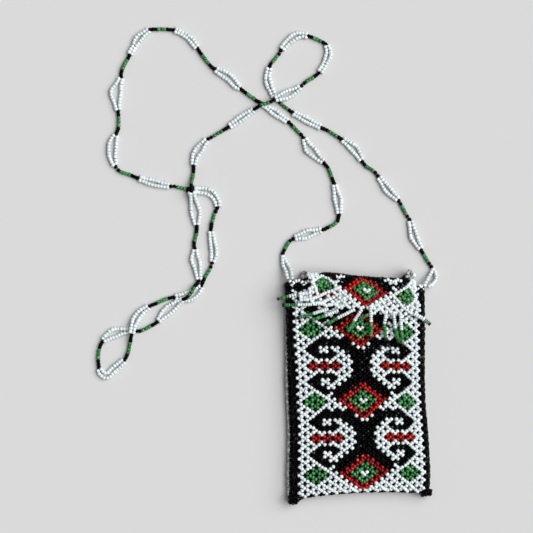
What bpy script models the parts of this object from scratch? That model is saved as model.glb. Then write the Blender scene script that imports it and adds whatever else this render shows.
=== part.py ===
"""Beaded pouch with a fringed flap and a neck strap of bead strands, lying on its back.

Metres, +Z up, +Y towards the mouth. The origin lies under the middle of the pouch, in the plane it rests on.
The net is a tube of seed beads round a black lining bag. Its back goes on past the mouth as the flap, which
turns over the top and lies on the front. A table's shares are of the sizes that its heading names.
"""

import math
from dataclasses import dataclass

import bmesh
import bpy
from mathutils import Vector

MM = 0.001

# Beads and the running gap that every piece keeps to its neighbours
BEAD_DIAMETER = 2.1 * MM
BEAD_PITCH = 1.55 * MM
BEAD_WAIST_SHARE = 0.74
BEAD_SIDES = 6
CLEARANCE = 0.3 * MM

# Net cells: half a cell's width and half its height, in a mesh of rhombic gaps, and how deep a gap shows as a pit.
# The front has two grid steps to a half cell, so that its ribs are slender, and the back one. The back keeps a plain
# margin of this many half cells, which it rests on.
CELL_HALF_WIDTH = 3.36 * MM
CELL_HALF_HEIGHT = 2.58 * MM
PIT_DEPTH = 1.6 * MM
FRONT_GRID_STEPS = 2
BACK_GRID_STEPS = 1
BACK_MARGIN = 3

# Pouch body
BODY_WIDTH = 90.0 * MM
BODY_HEIGHT = 136.0 * MM
CAVITY_DEPTH = 4.6 * MM
LINING_THICKNESS = 0.5 * MM
BOTTOM_RISE = 1.8 * MM
EDGING_HEIGHT = 2.6 * MM
EDGING_TOOTH = 1.3 * MM
TUFT_WIDTH = 9.6 * MM
TUFT_LENGTH = 3.0 * MM
TUFT_OUTREACH = 1.7 * MM

# The body's corners, as shares of BODY_WIDTH and BODY_HEIGHT from the origin
TOP_LEFT_SHARES = (-0.494, 0.504)
TOP_RIGHT_SHARES = (0.509, 0.471)
BOTTOM_LEFT_SHARES = (-0.471, -0.524)
BOTTOM_RIGHT_SHARES = (0.538, -0.495)

# Flap: the line it folds on, as a share of BODY_WIDTH, and how far it hangs down the front from there
FOLD_SHARE = 0.7556
FOLD_LENGTH = FOLD_SHARE * BODY_WIDTH
FOLD_TILT = math.radians(-2.7)
FOLD_MIDDLE_SHARES = (0.038, 0.5325)
FLAP_DROP = 25.0 * MM

# The flap's outline, as shares of FOLD_LENGTH from the fold's left end and of FLAP_DROP down from the fold
FLAP_OUTLINE_SHARES = (
    (0.038, 0.266), (0.003, 0.426), (-0.067, 0.507), (-0.067, 0.631), (-0.130, 0.688), (-0.129, 0.779),
    (0.160, 0.731), (0.214, 0.838), (0.304, 0.868), (0.465, 0.818), (0.531, 0.812), (0.601, 0.752),
    (0.636, 0.884), (0.759, 0.845), (0.910, 0.831), (1.030, 0.877), (1.079, 0.726), (1.028, 0.500),
    (1.042, 0.240),
)

# Neck strap: its route is chosen by hand in steps of the reference picture's pixel
PIXEL = 0.645 * MM
PIXEL_CENTRE = (354.95, 387.2)
CROSSING_RISE = 2.6 * MM
CROSSING_REACH = 11.0 * MM
END_REACH = 13.0 * MM
STRAP_SIDES_RESOLUTION = 2
CURVE_STEPS = 10
BOW_LIMIT = 1.5 * MM

BEAD_RADIUS = BEAD_DIAMETER / 2
BODY_DEPTH = 2 * (BEAD_DIAMETER + CLEARANCE + LINING_THICKNESS) + CAVITY_DEPTH
EDGE_RADIUS = BODY_DEPTH / 2
FLAP_HEIGHT = BODY_DEPTH + CLEARANCE + BEAD_RADIUS
EDGE_STEPS = 8
BOTTOM_STEPS = 10
FULL_TURN = math.tau
UP = Vector((0, 0, 1))


@dataclass
class Strand:
    """One fringe strand: where it leaves the flap, its two runs and how it bends between them.

    The root's shares are of FOLD_LENGTH and FLAP_DROP, as in the flap's outline, and the runs' are of FOLD_LENGTH.
    The heading is in degrees from straight down the flap, positive to the right. An arched strand passes over its
    neighbour.
    """

    root_shares: tuple
    heading: float
    white_share: float
    green_heading: float
    green_share: float
    arched: bool = False


# Fringe, from the flap's left end to its right
FRINGE = (
    Strand((-0.084, 0.571), -76.0, 0.091, -72.0, 0.091),
    Strand((0.151, 0.784), -84.5, 0.228, -86.8, 0.114),
    Strand((0.210, 0.903), -69.6, 0.160, -71.5, 0.137),
    Strand((0.305, 0.935), -66.3, 0.137, -68.6, 0.114),
    Strand((0.459, 0.881), -59.7, 0.182, -57.1, 0.114),
    Strand((0.525, 0.878), -29.7, 0.137, -30.1, 0.114),
    Strand((0.659, 0.943), -70.6, 0.068, -62.7, 0.068),
    Strand((0.6085, 0.810), 4.2, 0.137, 1.7, 0.137, arched=True),
    Strand((0.760, 0.899), -7.3, 0.114, 8.2, 0.137),
    Strand((0.825, 0.893), 8.6, 0.160, 14.5, 0.137),
    Strand((0.8886, 0.888), 7.0, 0.182, 6.8, 0.137),
    Strand((1.045, 0.937), 62.7, 0.091, 48.7, 0.068),
)

# The arched strand's slope in degrees, positive upwards: where each run starts, and how far it turns over the run
ARCH_TILT = 35.0
ARCH_TURN = -60.0
LANDING_TILT = -20.0
LANDING_TURN = 25.0
ARCH_ROOT_RISE = 0.9 * MM

# The strap's single stretches, in order from the left corner, each black, green and black again
SINGLE_STRETCHES = (
    ((282.5, 255.0), (285.0, 249.0), (289.0, 242.0), (294.9, 237.7)),
    ((321.5, 230.0), (329.0, 227.0), (337.0, 222.0), (339.4, 213.3)),
    ((334.8, 184.5), (332.0, 177.0), (328.6, 168.0), (323.1, 161.5)),
    ((304.6, 138.6), (300.0, 133.0), (292.5, 125.5), (287.4, 121.0)),
    ((262.6, 103.7), (255.0, 99.0), (246.5, 93.0), (239.6, 87.3)),
    ((215.8, 69.3), (209.0, 63.5), (202.0, 54.5), (196.7, 46.8)),
    ((174.7, 29.6), (166.0, 28.8), (157.0, 28.8), (148.4, 29.6)),
    ((129.7, 53.5), (127.0, 59.0), (122.0, 69.0), (120.7, 77.9)),
    ((117.8, 109.5), (118.3, 116.0), (118.3, 127.0), (115.4, 135.3)),
    ((114.7, 165.0), (119.5, 171.0), (130.0, 174.7), (139.2, 178.3)),
    ((168.8, 185.9), (176.0, 186.5), (186.6, 189.0), (194.3, 190.0)),
    ((217.7, 205.9), (214.9, 213.0), (212.0, 222.5), (210.8, 231.4)),
    ((212.1, 261.4), (210.0, 268.6), (204.5, 278.0), (200.9, 286.9)),
    ((175.4, 297.4), (167.5, 298.7), (157.0, 303.0), (147.9, 307.1)),
    ((131.5, 333.2), (130.0, 342.0), (127.4, 354.0), (123.4, 361.2)),
    ((98.9, 369.4), (97.9, 359.5), (98.9, 349.0), (103.0, 340.3)),
    ((134.6, 331.1), (141.0, 330.7), (151.0, 326.0), (158.1, 320.9)),
    ((182.0, 300.0), (188.5, 296.0), (194.3, 287.0), (198.9, 279.1)),
    ((194.8, 249.7), (194.3, 241.5), (196.3, 233.0), (196.3, 224.7)),
    ((191.7, 192.0), (191.2, 184.0), (193.3, 173.0), (193.3, 164.5)),
    ((206.4, 139.7), (213.0, 136.0), (222.5, 130.3), (229.3, 125.9)),
    ((253.4, 109.5), (260.0, 105.4), (269.3, 102.0), (275.6, 98.8)),
    ((300.1, 86.6), (306.0, 81.5), (314.0, 76.5), (320.2, 71.3)),
    ((326.9, 44.9), (322.0, 41.0), (313.0, 37.0), (307.1, 35.0)),
    ((281.9, 48.4), (278.0, 55.0), (272.0, 62.0), (269.1, 67.5)),
    ((274.5, 96.5), (280.0, 102.5), (288.0, 108.7), (293.6, 112.6)),
    ((320.6, 126.8), (328.5, 130.4), (337.6, 136.2), (343.2, 139.5)),
    ((361.6, 159.7), (366.0, 165.5), (374.0, 171.0), (379.3, 176.9)),
    ((397.9, 198.9), (402.0, 205.3), (406.7, 214.5), (410.8, 220.9)),
    ((420.9, 248.6), (424.0, 254.0), (428.7, 262.0), (432.4, 268.2)),
)

# The strap's double stretches, between the single ones and at both ends: the points that the main strand passes,
# then those of the second strand. Where there are none, the two lie side by side.
DOUBLE_STRETCHES = (
    ((), ()),
    (((307.0, 230.5),), ((306.5, 238.0),)),
    (((341.5, 199.0),), ((334.5, 199.0),)),
    (((315.5, 149.0),), ((309.7, 154.2), (305.3, 149.0))),
    ((), ()),
    ((), ()),
    ((), ()),
    (((136.2, 36.5),), ((139.8, 41.0),)),
    (((120.5, 92.0),), ((110.5, 92.0),)),
    (((116.5, 150.0),), ((108.0, 149.5),)),
    ((), ()),
    (((203.0, 188.0), (212.0, 190.5), (216.5, 196.5)), ((202.5, 192.5), (209.0, 195.0), (213.0, 200.5))),
    ((), ()),
    (((197.5, 295.5), (187.0, 301.0)), ((192.0, 291.0), (182.5, 294.0))),
    (((137.8, 311.8), (132.0, 321.0)), ((141.5, 315.5), (136.2, 323.8))),
    (((115.0, 371.5), (106.5, 378.5), (99.8, 375.0)), ((112.5, 367.5), (106.5, 373.5), (102.5, 371.5))),
    (((110.0, 331.0), (120.0, 329.0)), ((112.5, 338.0), (122.0, 334.0))),
    ((), ()),
    (((200.0, 263.0),), ((191.5, 260.0),)),
    (((190.5, 208.0),), ((199.0, 211.0),)),
    (((192.3, 155.0), (197.3, 146.0)), ((197.5, 157.0), (203.0, 149.0))),
    ((), ()),
    ((), ()),
    (((328.5, 61.0), (331.0, 52.5)), ((324.2, 60.5), (326.5, 52.5))),
    (((298.0, 32.5), (289.0, 37.0)), ((299.0, 37.0), (291.5, 41.5))),
    (((265.5, 78.0), (268.0, 88.0)), ((269.8, 78.0), (272.5, 87.0))),
    ((), ()),
    ((), ()),
    ((), ()),
    ((), ()),
    (((431.5, 273.5), (428.0, 280.0)), ((436.6, 275.0), (435.0, 282.0))),
)

# Where the strap passes over itself, and the number of the single stretch that lies on top there
STRAP_CROSSINGS = (
    ((191.7, 190.0), 19),
    ((190.0, 294.5), 17),
    ((132.0, 331.0), 14),
    ((262.0, 104.5), 21),
    ((275.0, 98.5), 21),
)


def clear_scene():
    for item in list(bpy.data.objects):
        bpy.data.objects.remove(item, do_unlink=True)


def make_material(name, color, roughness):
    material = bpy.data.materials.new(name)
    material.use_nodes = True
    shader = material.node_tree.nodes["Principled BSDF"]
    shader.inputs["Base Color"].default_value = (*color, 1.0)
    shader.inputs["Roughness"].default_value = roughness
    return material


def add_object(name, mesh, material):
    item = bpy.data.objects.new(name, mesh)
    mesh.materials.append(material)
    bpy.context.scene.collection.objects.link(item)
    return item


def finish_mesh(name, shape, material):
    bmesh.ops.recalc_face_normals(shape, faces=shape.faces)
    mesh = bpy.data.meshes.new(name)
    shape.to_mesh(mesh)
    shape.free()
    return add_object(name, mesh, material)


def add_pivot(name, place):
    """Adds the empty that stands on a joint's axis."""
    pivot = bpy.data.objects.new(name, None)
    pivot.location = place
    bpy.context.scene.collection.objects.link(pivot)
    return pivot


def hang_on(item, pivot):
    """Parents an object to an empty and leaves it where it is."""
    bpy.context.view_layer.update()
    item.parent = pivot
    item.matrix_parent_inverse = pivot.matrix_world.inverted()


# Outline of the body

def body_point(shares):
    return Vector((shares[0] * BODY_WIDTH, shares[1] * BODY_HEIGHT))


def lerp_at(value, start, end, key, result):
    """Reads the line from start to end at a value of one coordinate."""
    share = (value - start[key]) / (end[key] - start[key])
    return start[result] + share * (end[result] - start[result])


def left_edge_x(y):
    return lerp_at(y, body_point(BOTTOM_LEFT_SHARES), body_point(TOP_LEFT_SHARES), 1, 0)


def right_edge_x(y):
    return lerp_at(y, body_point(BOTTOM_RIGHT_SHARES), body_point(TOP_RIGHT_SHARES), 1, 0)


def mouth_y(x):
    return lerp_at(x, body_point(TOP_LEFT_SHARES), body_point(TOP_RIGHT_SHARES), 0, 1)


def bottom_y(x):
    """The bottom edge: straight between its corners, drawn up in the middle."""
    left = body_point(BOTTOM_LEFT_SHARES)
    right = body_point(BOTTOM_RIGHT_SHARES)
    across = 2 * (x - left.x) / (right.x - left.x) - 1
    return lerp_at(x, left, right, 0, 1) + BOTTOM_RISE * (1 - across * across)


def bottom_points(inset, steps):
    """Points along the bottom edge from left to right, inset from it and from both sides."""
    y_low = min(bottom_y(left_edge_x(0)), bottom_y(right_edge_x(0)))
    left = left_edge_x(y_low) + inset
    right = right_edge_x(y_low) - inset
    points = []
    for step in range(steps + 1):
        x = left + (right - left) * step / steps
        points.append(Vector((x, bottom_y(x) + inset)))
    return points


def points_along(line, steps):
    """Points at even steps of x along a line of corners that runs from left to right."""
    points = []
    for step in range(steps + 1):
        x = line[0].x + (line[-1].x - line[0].x) * step / steps
        start, end = next(pair for pair in zip(line, line[1:]) if x <= pair[1].x or pair[1] is line[-1])
        points.append(Vector((x, lerp_at(x, start, end, 0, 1))))
    return points


# Solids

def add_slab(name, outline, low, high, material):
    """A flat piece: its outline extruded from one height to another."""
    shape = bmesh.new()
    corners = [shape.verts.new((point.x, point.y, low)) for point in outline]
    face = shape.faces.new(corners)
    pulled = bmesh.ops.extrude_face_region(shape, geom=[face])
    raised = [item for item in pulled["geom"] if isinstance(item, bmesh.types.BMVert)]
    bmesh.ops.translate(shape, verts=raised, vec=UP * (high - low))
    return finish_mesh(name, shape, material)


def bridge_rings(shape, rings, closed_ends=True):
    """Skins a row of vertex rings of equal length, and closes both ends."""
    for ring, following in zip(rings, rings[1:]):
        for index in range(len(ring)):
            after = (index + 1) % len(ring)
            shape.faces.new((ring[index], ring[after], following[after], following[index]))
    if closed_ends:
        shape.faces.new(rings[0])
        shape.faces.new(rings[-1])


def add_net_panel(name, top_line, outer, inner, steps, margin, material):
    """A panel of net up to its top line: outside, a rib along every thread and a pit in every rhombic gap.

    The outer and inner faces lie at these heights. Each half cell has this many grid steps, and the margin is how
    many half cells stay plain all round.
    """
    inset = EDGE_RADIUS + CLEARANCE
    cells = 2 * max(1, round((top_line[-1].x - top_line[0].x) / (2 * CELL_HALF_WIDTH)))
    columns = steps * cells
    low_points = bottom_points(inset, columns)
    high_points = points_along(top_line, columns)
    rows = steps * max(1, round((high_points[0].y - low_points[0].y) / CELL_HALF_HEIGHT))
    pit = math.copysign(PIT_DEPTH, inner - outer)

    def is_high(column, row):
        """Whether a grid point lies on a thread or in the plain margin."""
        on_thread = (column + row) % (2 * steps) == 0 or (column - row) % (2 * steps) == 0
        return on_thread or min(column, row, columns - column, rows - row) < margin * steps

    shape = bmesh.new()
    grid = []
    for row in range(rows + 1):
        line = []
        for column in range(columns + 1):
            place = low_points[column].lerp(high_points[column], row / rows)
            line.append(shape.verts.new((place.x, place.y, outer + (0 if is_high(column, row) else pit))))
        grid.append(line)
    for row in range(rows):
        for column in range(columns):
            places = [(column, row), (column + 1, row), (column + 1, row + 1), (column, row + 1)]
            corners = [grid[up][across] for across, up in places]
            highs = [is_high(across, up) for across, up in places]
            if highs[0] != highs[2] or (highs[1] and highs[3]):
                corners = corners[1:] + corners[:1]
            shape.faces.new((corners[0], corners[1], corners[2]))
            shape.faces.new((corners[0], corners[2], corners[3]))
    border = grid[0] + [line[-1] for line in grid[1:-1]] + grid[-1][::-1] + [line[0] for line in grid[-2:0:-1]]
    backing = [shape.verts.new((vert.co.x, vert.co.y, inner)) for vert in border]
    for index in range(len(border)):
        after = (index + 1) % len(border)
        shape.faces.new((border[index], border[after], backing[after], backing[index]))
    shape.faces.new(backing)
    return finish_mesh(name, shape, material)


def rim_profile():
    """The folded edge of the net in section: half a ring, as distances inwards and heights."""
    profile = []
    for radius, turn in ((EDGE_RADIUS, 1), (EDGE_RADIUS - BEAD_DIAMETER, -1)):
        for step in range(EDGE_STEPS + 1):
            angle = math.pi * (0.5 + step / EDGE_STEPS)
            if turn < 0:
                angle = FULL_TURN - angle
            profile.append((EDGE_RADIUS + radius * math.cos(angle), EDGE_RADIUS + radius * math.sin(angle)))
    return profile


def add_rim(name, path, inward, material):
    """Sweeps the folded edge along a path of the body's outline, towards the inward side."""
    shape = bmesh.new()
    rings = []
    for point in path:
        ring = []
        for distance, height in rim_profile():
            place = point + inward * distance
            ring.append(shape.verts.new((place.x, place.y, height)))
        rings.append(ring)
    bridge_rings(shape, rings)
    return finish_mesh(name, shape, material)


def make_nets(black, white):
    """The body's net: front and back panels, the folds at both sides and the folded bottom."""
    inset = EDGE_RADIUS + CLEARANCE
    top_left = body_point(TOP_LEFT_SHARES)
    top_right = body_point(TOP_RIGHT_SHARES)
    bottom_left = body_point(BOTTOM_LEFT_SHARES)
    bottom_right = body_point(BOTTOM_RIGHT_SHARES)
    left = left_edge_x(top_left.y) + inset
    right = right_edge_x(top_right.y) - inset

    below_edging = EDGING_HEIGHT + CLEARANCE
    front_top = [Vector((x, mouth_y(x) - below_edging)) for x in (left, right)]
    add_net_panel("front_net", front_top, BODY_DEPTH, BODY_DEPTH - BEAD_DIAMETER, FRONT_GRID_STEPS, 0, white)

    behind_fold = flap_down() * (BEAD_DIAMETER + CLEARANCE)
    fold_left = flap_point(0, 0) + behind_fold
    fold_right = flap_point(1, 0) + behind_fold
    back_top = [Vector((left, mouth_y(left))), fold_left, fold_right, Vector((right, mouth_y(right)))]
    add_net_panel("back_net", back_top, 0, BEAD_DIAMETER, BACK_GRID_STEPS, BACK_MARGIN, black)

    add_rim("left_side_net", [top_left, bottom_left], Vector((1, 0)), black)
    add_rim("right_side_net", [top_right, bottom_right], Vector((-1, 0)), black)
    path = [Vector((point.x, bottom_y(point.x))) for point in bottom_points(inset, BOTTOM_STEPS)]
    add_rim("bottom_net", path, Vector((0, 1)), white)


def lining_section(left, right, radius, y_of_x):
    """The lining in section: a flat tube with round sides, as points that follow a line across the body."""
    points = []
    for centre, opposite, start in ((left, right, 0.5), (right, left, -0.5)):
        for step in range(EDGE_STEPS + 1):
            angle = math.pi * (start + step / EDGE_STEPS)
            x = centre + radius * math.cos(angle)
            points.append(Vector((x, y_of_x(x), EDGE_RADIUS + radius * math.sin(angle))))
        for step in range(1, BOTTOM_STEPS):
            x = centre + (opposite - centre) * step / BOTTOM_STEPS
            height = EDGE_RADIUS + radius * math.sin(angle)
            points.append(Vector((x, y_of_x(x), height)))
    return points


def make_lining(black):
    """The lining bag: outer skin up from the closed bottom, over the rim and down to the inner bottom."""
    shape = bmesh.new()
    outer = EDGE_RADIUS - BEAD_DIAMETER - CLEARANCE
    inner = outer - LINING_THICKNESS
    rim_drop = EDGING_HEIGHT

    def rim_line(x):
        return mouth_y(x) - rim_drop

    def outer_bottom(x):
        return bottom_y(x) + EDGE_RADIUS + CLEARANCE

    def inner_bottom(x):
        return outer_bottom(x) + LINING_THICKNESS

    y_rim = rim_line(0)
    y_bottom = bottom_y(0)
    rings = []
    for radius, line, y in (
        (outer, outer_bottom, y_bottom),
        (outer, rim_line, y_rim),
        (inner, rim_line, y_rim),
        (inner, inner_bottom, y_bottom),
    ):
        section = lining_section(left_edge_x(y) + EDGE_RADIUS, right_edge_x(y) - EDGE_RADIUS, radius, line)
        rings.append([shape.verts.new(point) for point in section])
    bridge_rings(shape, rings)
    return finish_mesh("lining", shape, black)


def make_edging(white):
    """The picot edging: a toothed strip on the front panel's upper edge."""
    inset = EDGE_RADIUS + CLEARANCE
    left = left_edge_x(body_point(TOP_LEFT_SHARES).y) + inset
    right = right_edge_x(body_point(TOP_RIGHT_SHARES).y) - inset
    teeth = 2 * max(1, round((right - left) / (2 * CELL_HALF_WIDTH)))
    top = []
    for step in range(teeth + 1):
        x = left + (right - left) * step / teeth
        top.append(Vector((x, mouth_y(x) - EDGING_TOOTH * (step % 2))))
    low = [Vector((x, mouth_y(x) - EDGING_HEIGHT)) for x in (right, left)]
    return add_slab("mouth_edging", top + low, BODY_DEPTH - BEAD_DIAMETER, BODY_DEPTH, white)


def make_tufts(black):
    """The tufts of black beads at the lower corners: the folded corners of the net, drawn in towards their tips."""
    tip_share = 0.72
    for name, corner, outward in (
        ("left_corner_tuft", body_point(BOTTOM_LEFT_SHARES), -1),
        ("right_corner_tuft", body_point(BOTTOM_RIGHT_SHARES), 1),
    ):
        middle = corner.x + outward * (TUFT_OUTREACH - TUFT_WIDTH / 2)
        reach = [corner.x + outward * TUFT_OUTREACH, corner.x + outward * (TUFT_OUTREACH - TUFT_WIDTH)]
        top = min(bottom_y(x) for x in [corner.x] + reach) - CLEARANCE
        shape = bmesh.new()
        rings = []
        for y, share in ((top, 1.0), (top - TUFT_LENGTH / 2, 1.0), (top - TUFT_LENGTH, tip_share)):
            ring = []
            for step in range(2 * EDGE_STEPS):
                angle = FULL_TURN * step / (2 * EDGE_STEPS)
                x = middle + math.copysign(math.sqrt(abs(math.cos(angle))), math.cos(angle)) * TUFT_WIDTH / 2 * share
                rise = math.copysign(math.sqrt(abs(math.sin(angle))), math.sin(angle))
                z = EDGE_RADIUS + rise * (EDGE_RADIUS - CLEARANCE) * share
                ring.append(shape.verts.new((x, y, z)))
            rings.append(ring)
        bridge_rings(shape, rings)
        finish_mesh(name, shape, black)


# Flap and fringe

def flap_across():
    return Vector((math.cos(FOLD_TILT), math.sin(FOLD_TILT)))


def flap_down():
    return Vector((math.sin(FOLD_TILT), -math.cos(FOLD_TILT)))


def flap_point(across_share, drop_share):
    """A place on the flap, by its shares of FOLD_LENGTH and FLAP_DROP from the fold's outer line."""
    middle = body_point(FOLD_MIDDLE_SHARES)
    across = (across_share - 0.5) * FOLD_LENGTH
    return middle + flap_across() * across + flap_down() * drop_share * FLAP_DROP


def inside_outline(point, outline):
    """Tells whether a point lies inside a polygon, by the crossings of a ray."""
    inside = False
    for start, end in zip(outline, outline[1:] + outline[:1]):
        if (start.y > point.y) != (end.y > point.y):
            if point.x < lerp_at(point.y, start, end, 1, 0):
                inside = not inside
    return inside


def make_flap(white, black):
    """The flap's two bodies: the strip that turns over the top, and the net of rhombic gaps on the front."""
    axis = flap_point(0.5, 0) + flap_down() * BEAD_RADIUS
    fold_pivot = add_pivot("fold_pivot", (axis.x, axis.y, BEAD_RADIUS))
    flap_pivot = add_pivot("flap_pivot", (axis.x, axis.y, FLAP_HEIGHT))
    hang_on(flap_pivot, fold_pivot)

    shape = bmesh.new()
    rings = []
    for share in (0, 1):
        middle = flap_point(share, 0) + flap_down() * BEAD_RADIUS
        ring = []
        for centre, start in ((FLAP_HEIGHT, 0), (BEAD_RADIUS, 1)):
            for step in range(EDGE_STEPS + 1):
                angle = math.pi * (start + step / EDGE_STEPS)
                place = middle + flap_down() * BEAD_RADIUS * math.cos(angle)
                ring.append(shape.verts.new((place.x, place.y, centre + BEAD_RADIUS * math.sin(angle))))
        rings.append(ring)
    bridge_rings(shape, rings)
    hang_on(finish_mesh("flap_fold", shape, black), fold_pivot)

    top_share = (BEAD_DIAMETER + CLEARANCE) / FLAP_DROP
    shares = ((1, top_share), (0, top_share)) + FLAP_OUTLINE_SHARES
    outline = [flap_point(*pair) for pair in shares]
    low = FLAP_HEIGHT - BEAD_RADIUS
    flap = add_slab("flap_net", outline, low, low + BEAD_DIAMETER, white)
    gaps = flap.modifiers.new("gaps", "BOOLEAN")
    gaps.object = make_gap_cutter(outline, white)
    hang_on(flap, flap_pivot)
    return flap_pivot


def make_gap_cutter(outline, material):
    """The rhombic gaps of the flap's net, as one cutter of separate prisms that clear its outline by a bead."""
    slant = math.hypot(CELL_HALF_WIDTH, CELL_HALF_HEIGHT)
    inner_radius = CELL_HALF_WIDTH * CELL_HALF_HEIGHT / slant
    gap_share = max(0, 1 - BEAD_RADIUS / inner_radius)
    reach = FOLD_LENGTH
    columns = math.ceil(reach / CELL_HALF_WIDTH)
    rows = math.ceil(FLAP_DROP / CELL_HALF_HEIGHT)
    corners = ((1, 0), (0, 1), (-1, 0), (0, -1))
    shape = bmesh.new()
    for column in range(-columns, columns + 1):
        for row in range(rows + 1):
            if (column + row) % 2:
                continue
            middle = flap_point(0.5, 0) + flap_across() * column * CELL_HALF_WIDTH
            middle = middle + flap_down() * row * CELL_HALF_HEIGHT
            halves = [(a * CELL_HALF_WIDTH, b * CELL_HALF_HEIGHT) for a, b in corners]
            arms = [flap_across() * a + flap_down() * b for a, b in halves]
            if not all(inside_outline(middle + arm, outline) for arm in arms):
                continue
            low = FLAP_HEIGHT - BEAD_DIAMETER
            verts = [shape.verts.new((*(middle + arm * gap_share), low)) for arm in arms]
            face = shape.faces.new(verts)
            pulled = bmesh.ops.extrude_face_region(shape, geom=[face])
            raised = [item for item in pulled["geom"] if isinstance(item, bmesh.types.BMVert)]
            bmesh.ops.translate(shape, verts=raised, vec=UP * 2 * BEAD_DIAMETER)
    cutter = finish_mesh("flap_gap_cutter", shape, material)
    cutter.hide_render = True
    cutter.display_type = "WIRE"
    return cutter


def add_bead_run(name, place, heading, slope, length, material):
    """A run filled with whole beads: rings at each one's waist and belly. Returns the piece and the run's end.

    The slope is the run's first tilt in degrees and its turn from there to the last bead.
    """
    count = max(1, round(length / BEAD_PITCH))
    pitch = length / count
    first_tilt, turn = slope
    shape = bmesh.new()
    rings = []
    steps = []
    level = flap_down() * math.cos(heading) + flap_across() * math.sin(heading)
    side = Vector((level.y, -level.x, 0))
    for bead in range(count):
        angle = math.radians(first_tilt + turn * bead / max(1, count - 1))
        along = Vector((level.x * math.cos(angle), level.y * math.cos(angle), math.sin(angle)))
        first = CLEARANCE if bead == 0 else 0
        steps.append((place + along * first, along, BEAD_WAIST_SHARE))
        steps.append((place + along * pitch / 2, along, 1.0))
        place = place + along * pitch
    steps.append((place, along, BEAD_WAIST_SHARE))
    for centre, along, share in steps:
        over = side.cross(along)
        ring = []
        for step in range(BEAD_SIDES):
            angle = FULL_TURN * step / BEAD_SIDES
            offset = (side * math.cos(angle) + over * math.sin(angle)) * BEAD_RADIUS * share
            ring.append(shape.verts.new(centre + offset))
        rings.append(ring)
    bridge_rings(shape, rings)
    return finish_mesh(name, shape, material), place


def make_fringe(flap_pivot, white, green, black):
    """The fringe strands, each hung on a pivot at its root."""
    for number, strand in enumerate(FRINGE, start=1):
        root = flap_point(*strand.root_shares)
        rise = ARCH_ROOT_RISE if strand.arched else 0
        place = Vector((root.x, root.y, FLAP_HEIGHT + rise))
        pivot = add_pivot(f"fringe_{number:02d}_pivot", place)
        hang_on(pivot, flap_pivot)
        level = (0, 0)
        for part, heading, slope, length, material in (
            ("white", strand.heading, (ARCH_TILT, ARCH_TURN), strand.white_share * FOLD_LENGTH, white),
            ("green", strand.green_heading, (LANDING_TILT, LANDING_TURN), strand.green_share * FOLD_LENGTH, green),
            ("end", strand.green_heading, level, BEAD_PITCH, black),
        ):
            bend = slope if strand.arched else level
            run, place = add_bead_run(
                f"fringe_{number:02d}_{part}", place, math.radians(heading), bend, length, material)
            hang_on(run, pivot)


# Neck strap

def route_point(pixel):
    return Vector(((pixel[0] - PIXEL_CENTRE[0]) * PIXEL, (PIXEL_CENTRE[1] - pixel[1]) * PIXEL))


def strap_ends():
    """Where the main strand meets the folded sides' upper ends, and where the second strand does."""
    left = body_point(TOP_LEFT_SHARES)
    right = body_point(TOP_RIGHT_SHARES)
    seat = CLEARANCE + BEAD_RADIUS / 2
    return (
        (left + Vector((BEAD_RADIUS, seat)), left + Vector((EDGE_RADIUS - BEAD_RADIUS, seat))),
        (right + Vector((-BEAD_RADIUS, seat)), right + Vector((BEAD_DIAMETER, seat))),
    )


def smooth_curve(points):
    """Catmull-Rom curve through the points, as one list of points for each span."""
    padded = [2 * points[0] - points[1]] + points + [2 * points[-1] - points[-2]]
    spans = []
    for before, start, end, after in zip(padded, padded[1:], padded[2:], padded[3:]):
        span = []
        for step in range(CURVE_STEPS):
            t = step / CURVE_STEPS
            tangent = (end - before) * t
            curve = (2 * before - 5 * start + 4 * end - after) * t * t
            twist = (3 * start - before - 3 * end + after) * t * t * t
            span.append(0.5 * (2 * start + tangent + curve + twist))
        spans.append(span)
    spans[-1].append(points[-1])
    return spans


def side_by_side(start, end, side):
    """Two points that carry a strand beside its twin on a straight double stretch."""
    along = (end - start).normalized()
    offset = Vector((-along.y, along.x)) * side * (BEAD_RADIUS + CLEARANCE / 2)
    third = 1 / 3
    return [start.lerp(end, third) + offset, start.lerp(end, 1 - third) + offset]


def rise_at(place, stretch):
    """Height that the strap gains at a place: over another stretch, and up to the pouch at its ends."""
    rise = 0.0
    for pixel, top_stretch in STRAP_CROSSINGS:
        if abs(stretch - top_stretch) <= 1:
            distance = (place - route_point(pixel)).length / CROSSING_REACH
            if distance < 1:
                rise = max(rise, CROSSING_RISE * (1 + math.cos(math.pi * distance)) / 2)
    for end in strap_ends():
        distance = (place - end[0]).length / END_REACH
        if distance < 1:
            rise = max(rise, (EDGE_RADIUS - BEAD_RADIUS) * (1 + math.cos(math.pi * distance)) / 2)
    return rise


def lifted(place, stretch):
    return Vector((place.x, place.y, BEAD_RADIUS + rise_at(place, stretch)))


def bend_points(points):
    """The point where a stretch bows most, if it bows enough to show."""
    start = points[0]
    end = points[-1]
    along = (end - start).normalized()
    normal = Vector((-along.y, along.x))
    widest = max(points, key=lambda point: abs((point - start).dot(normal)))
    if abs((widest - start).dot(normal)) < BOW_LIMIT:
        return []
    return [widest]


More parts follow.
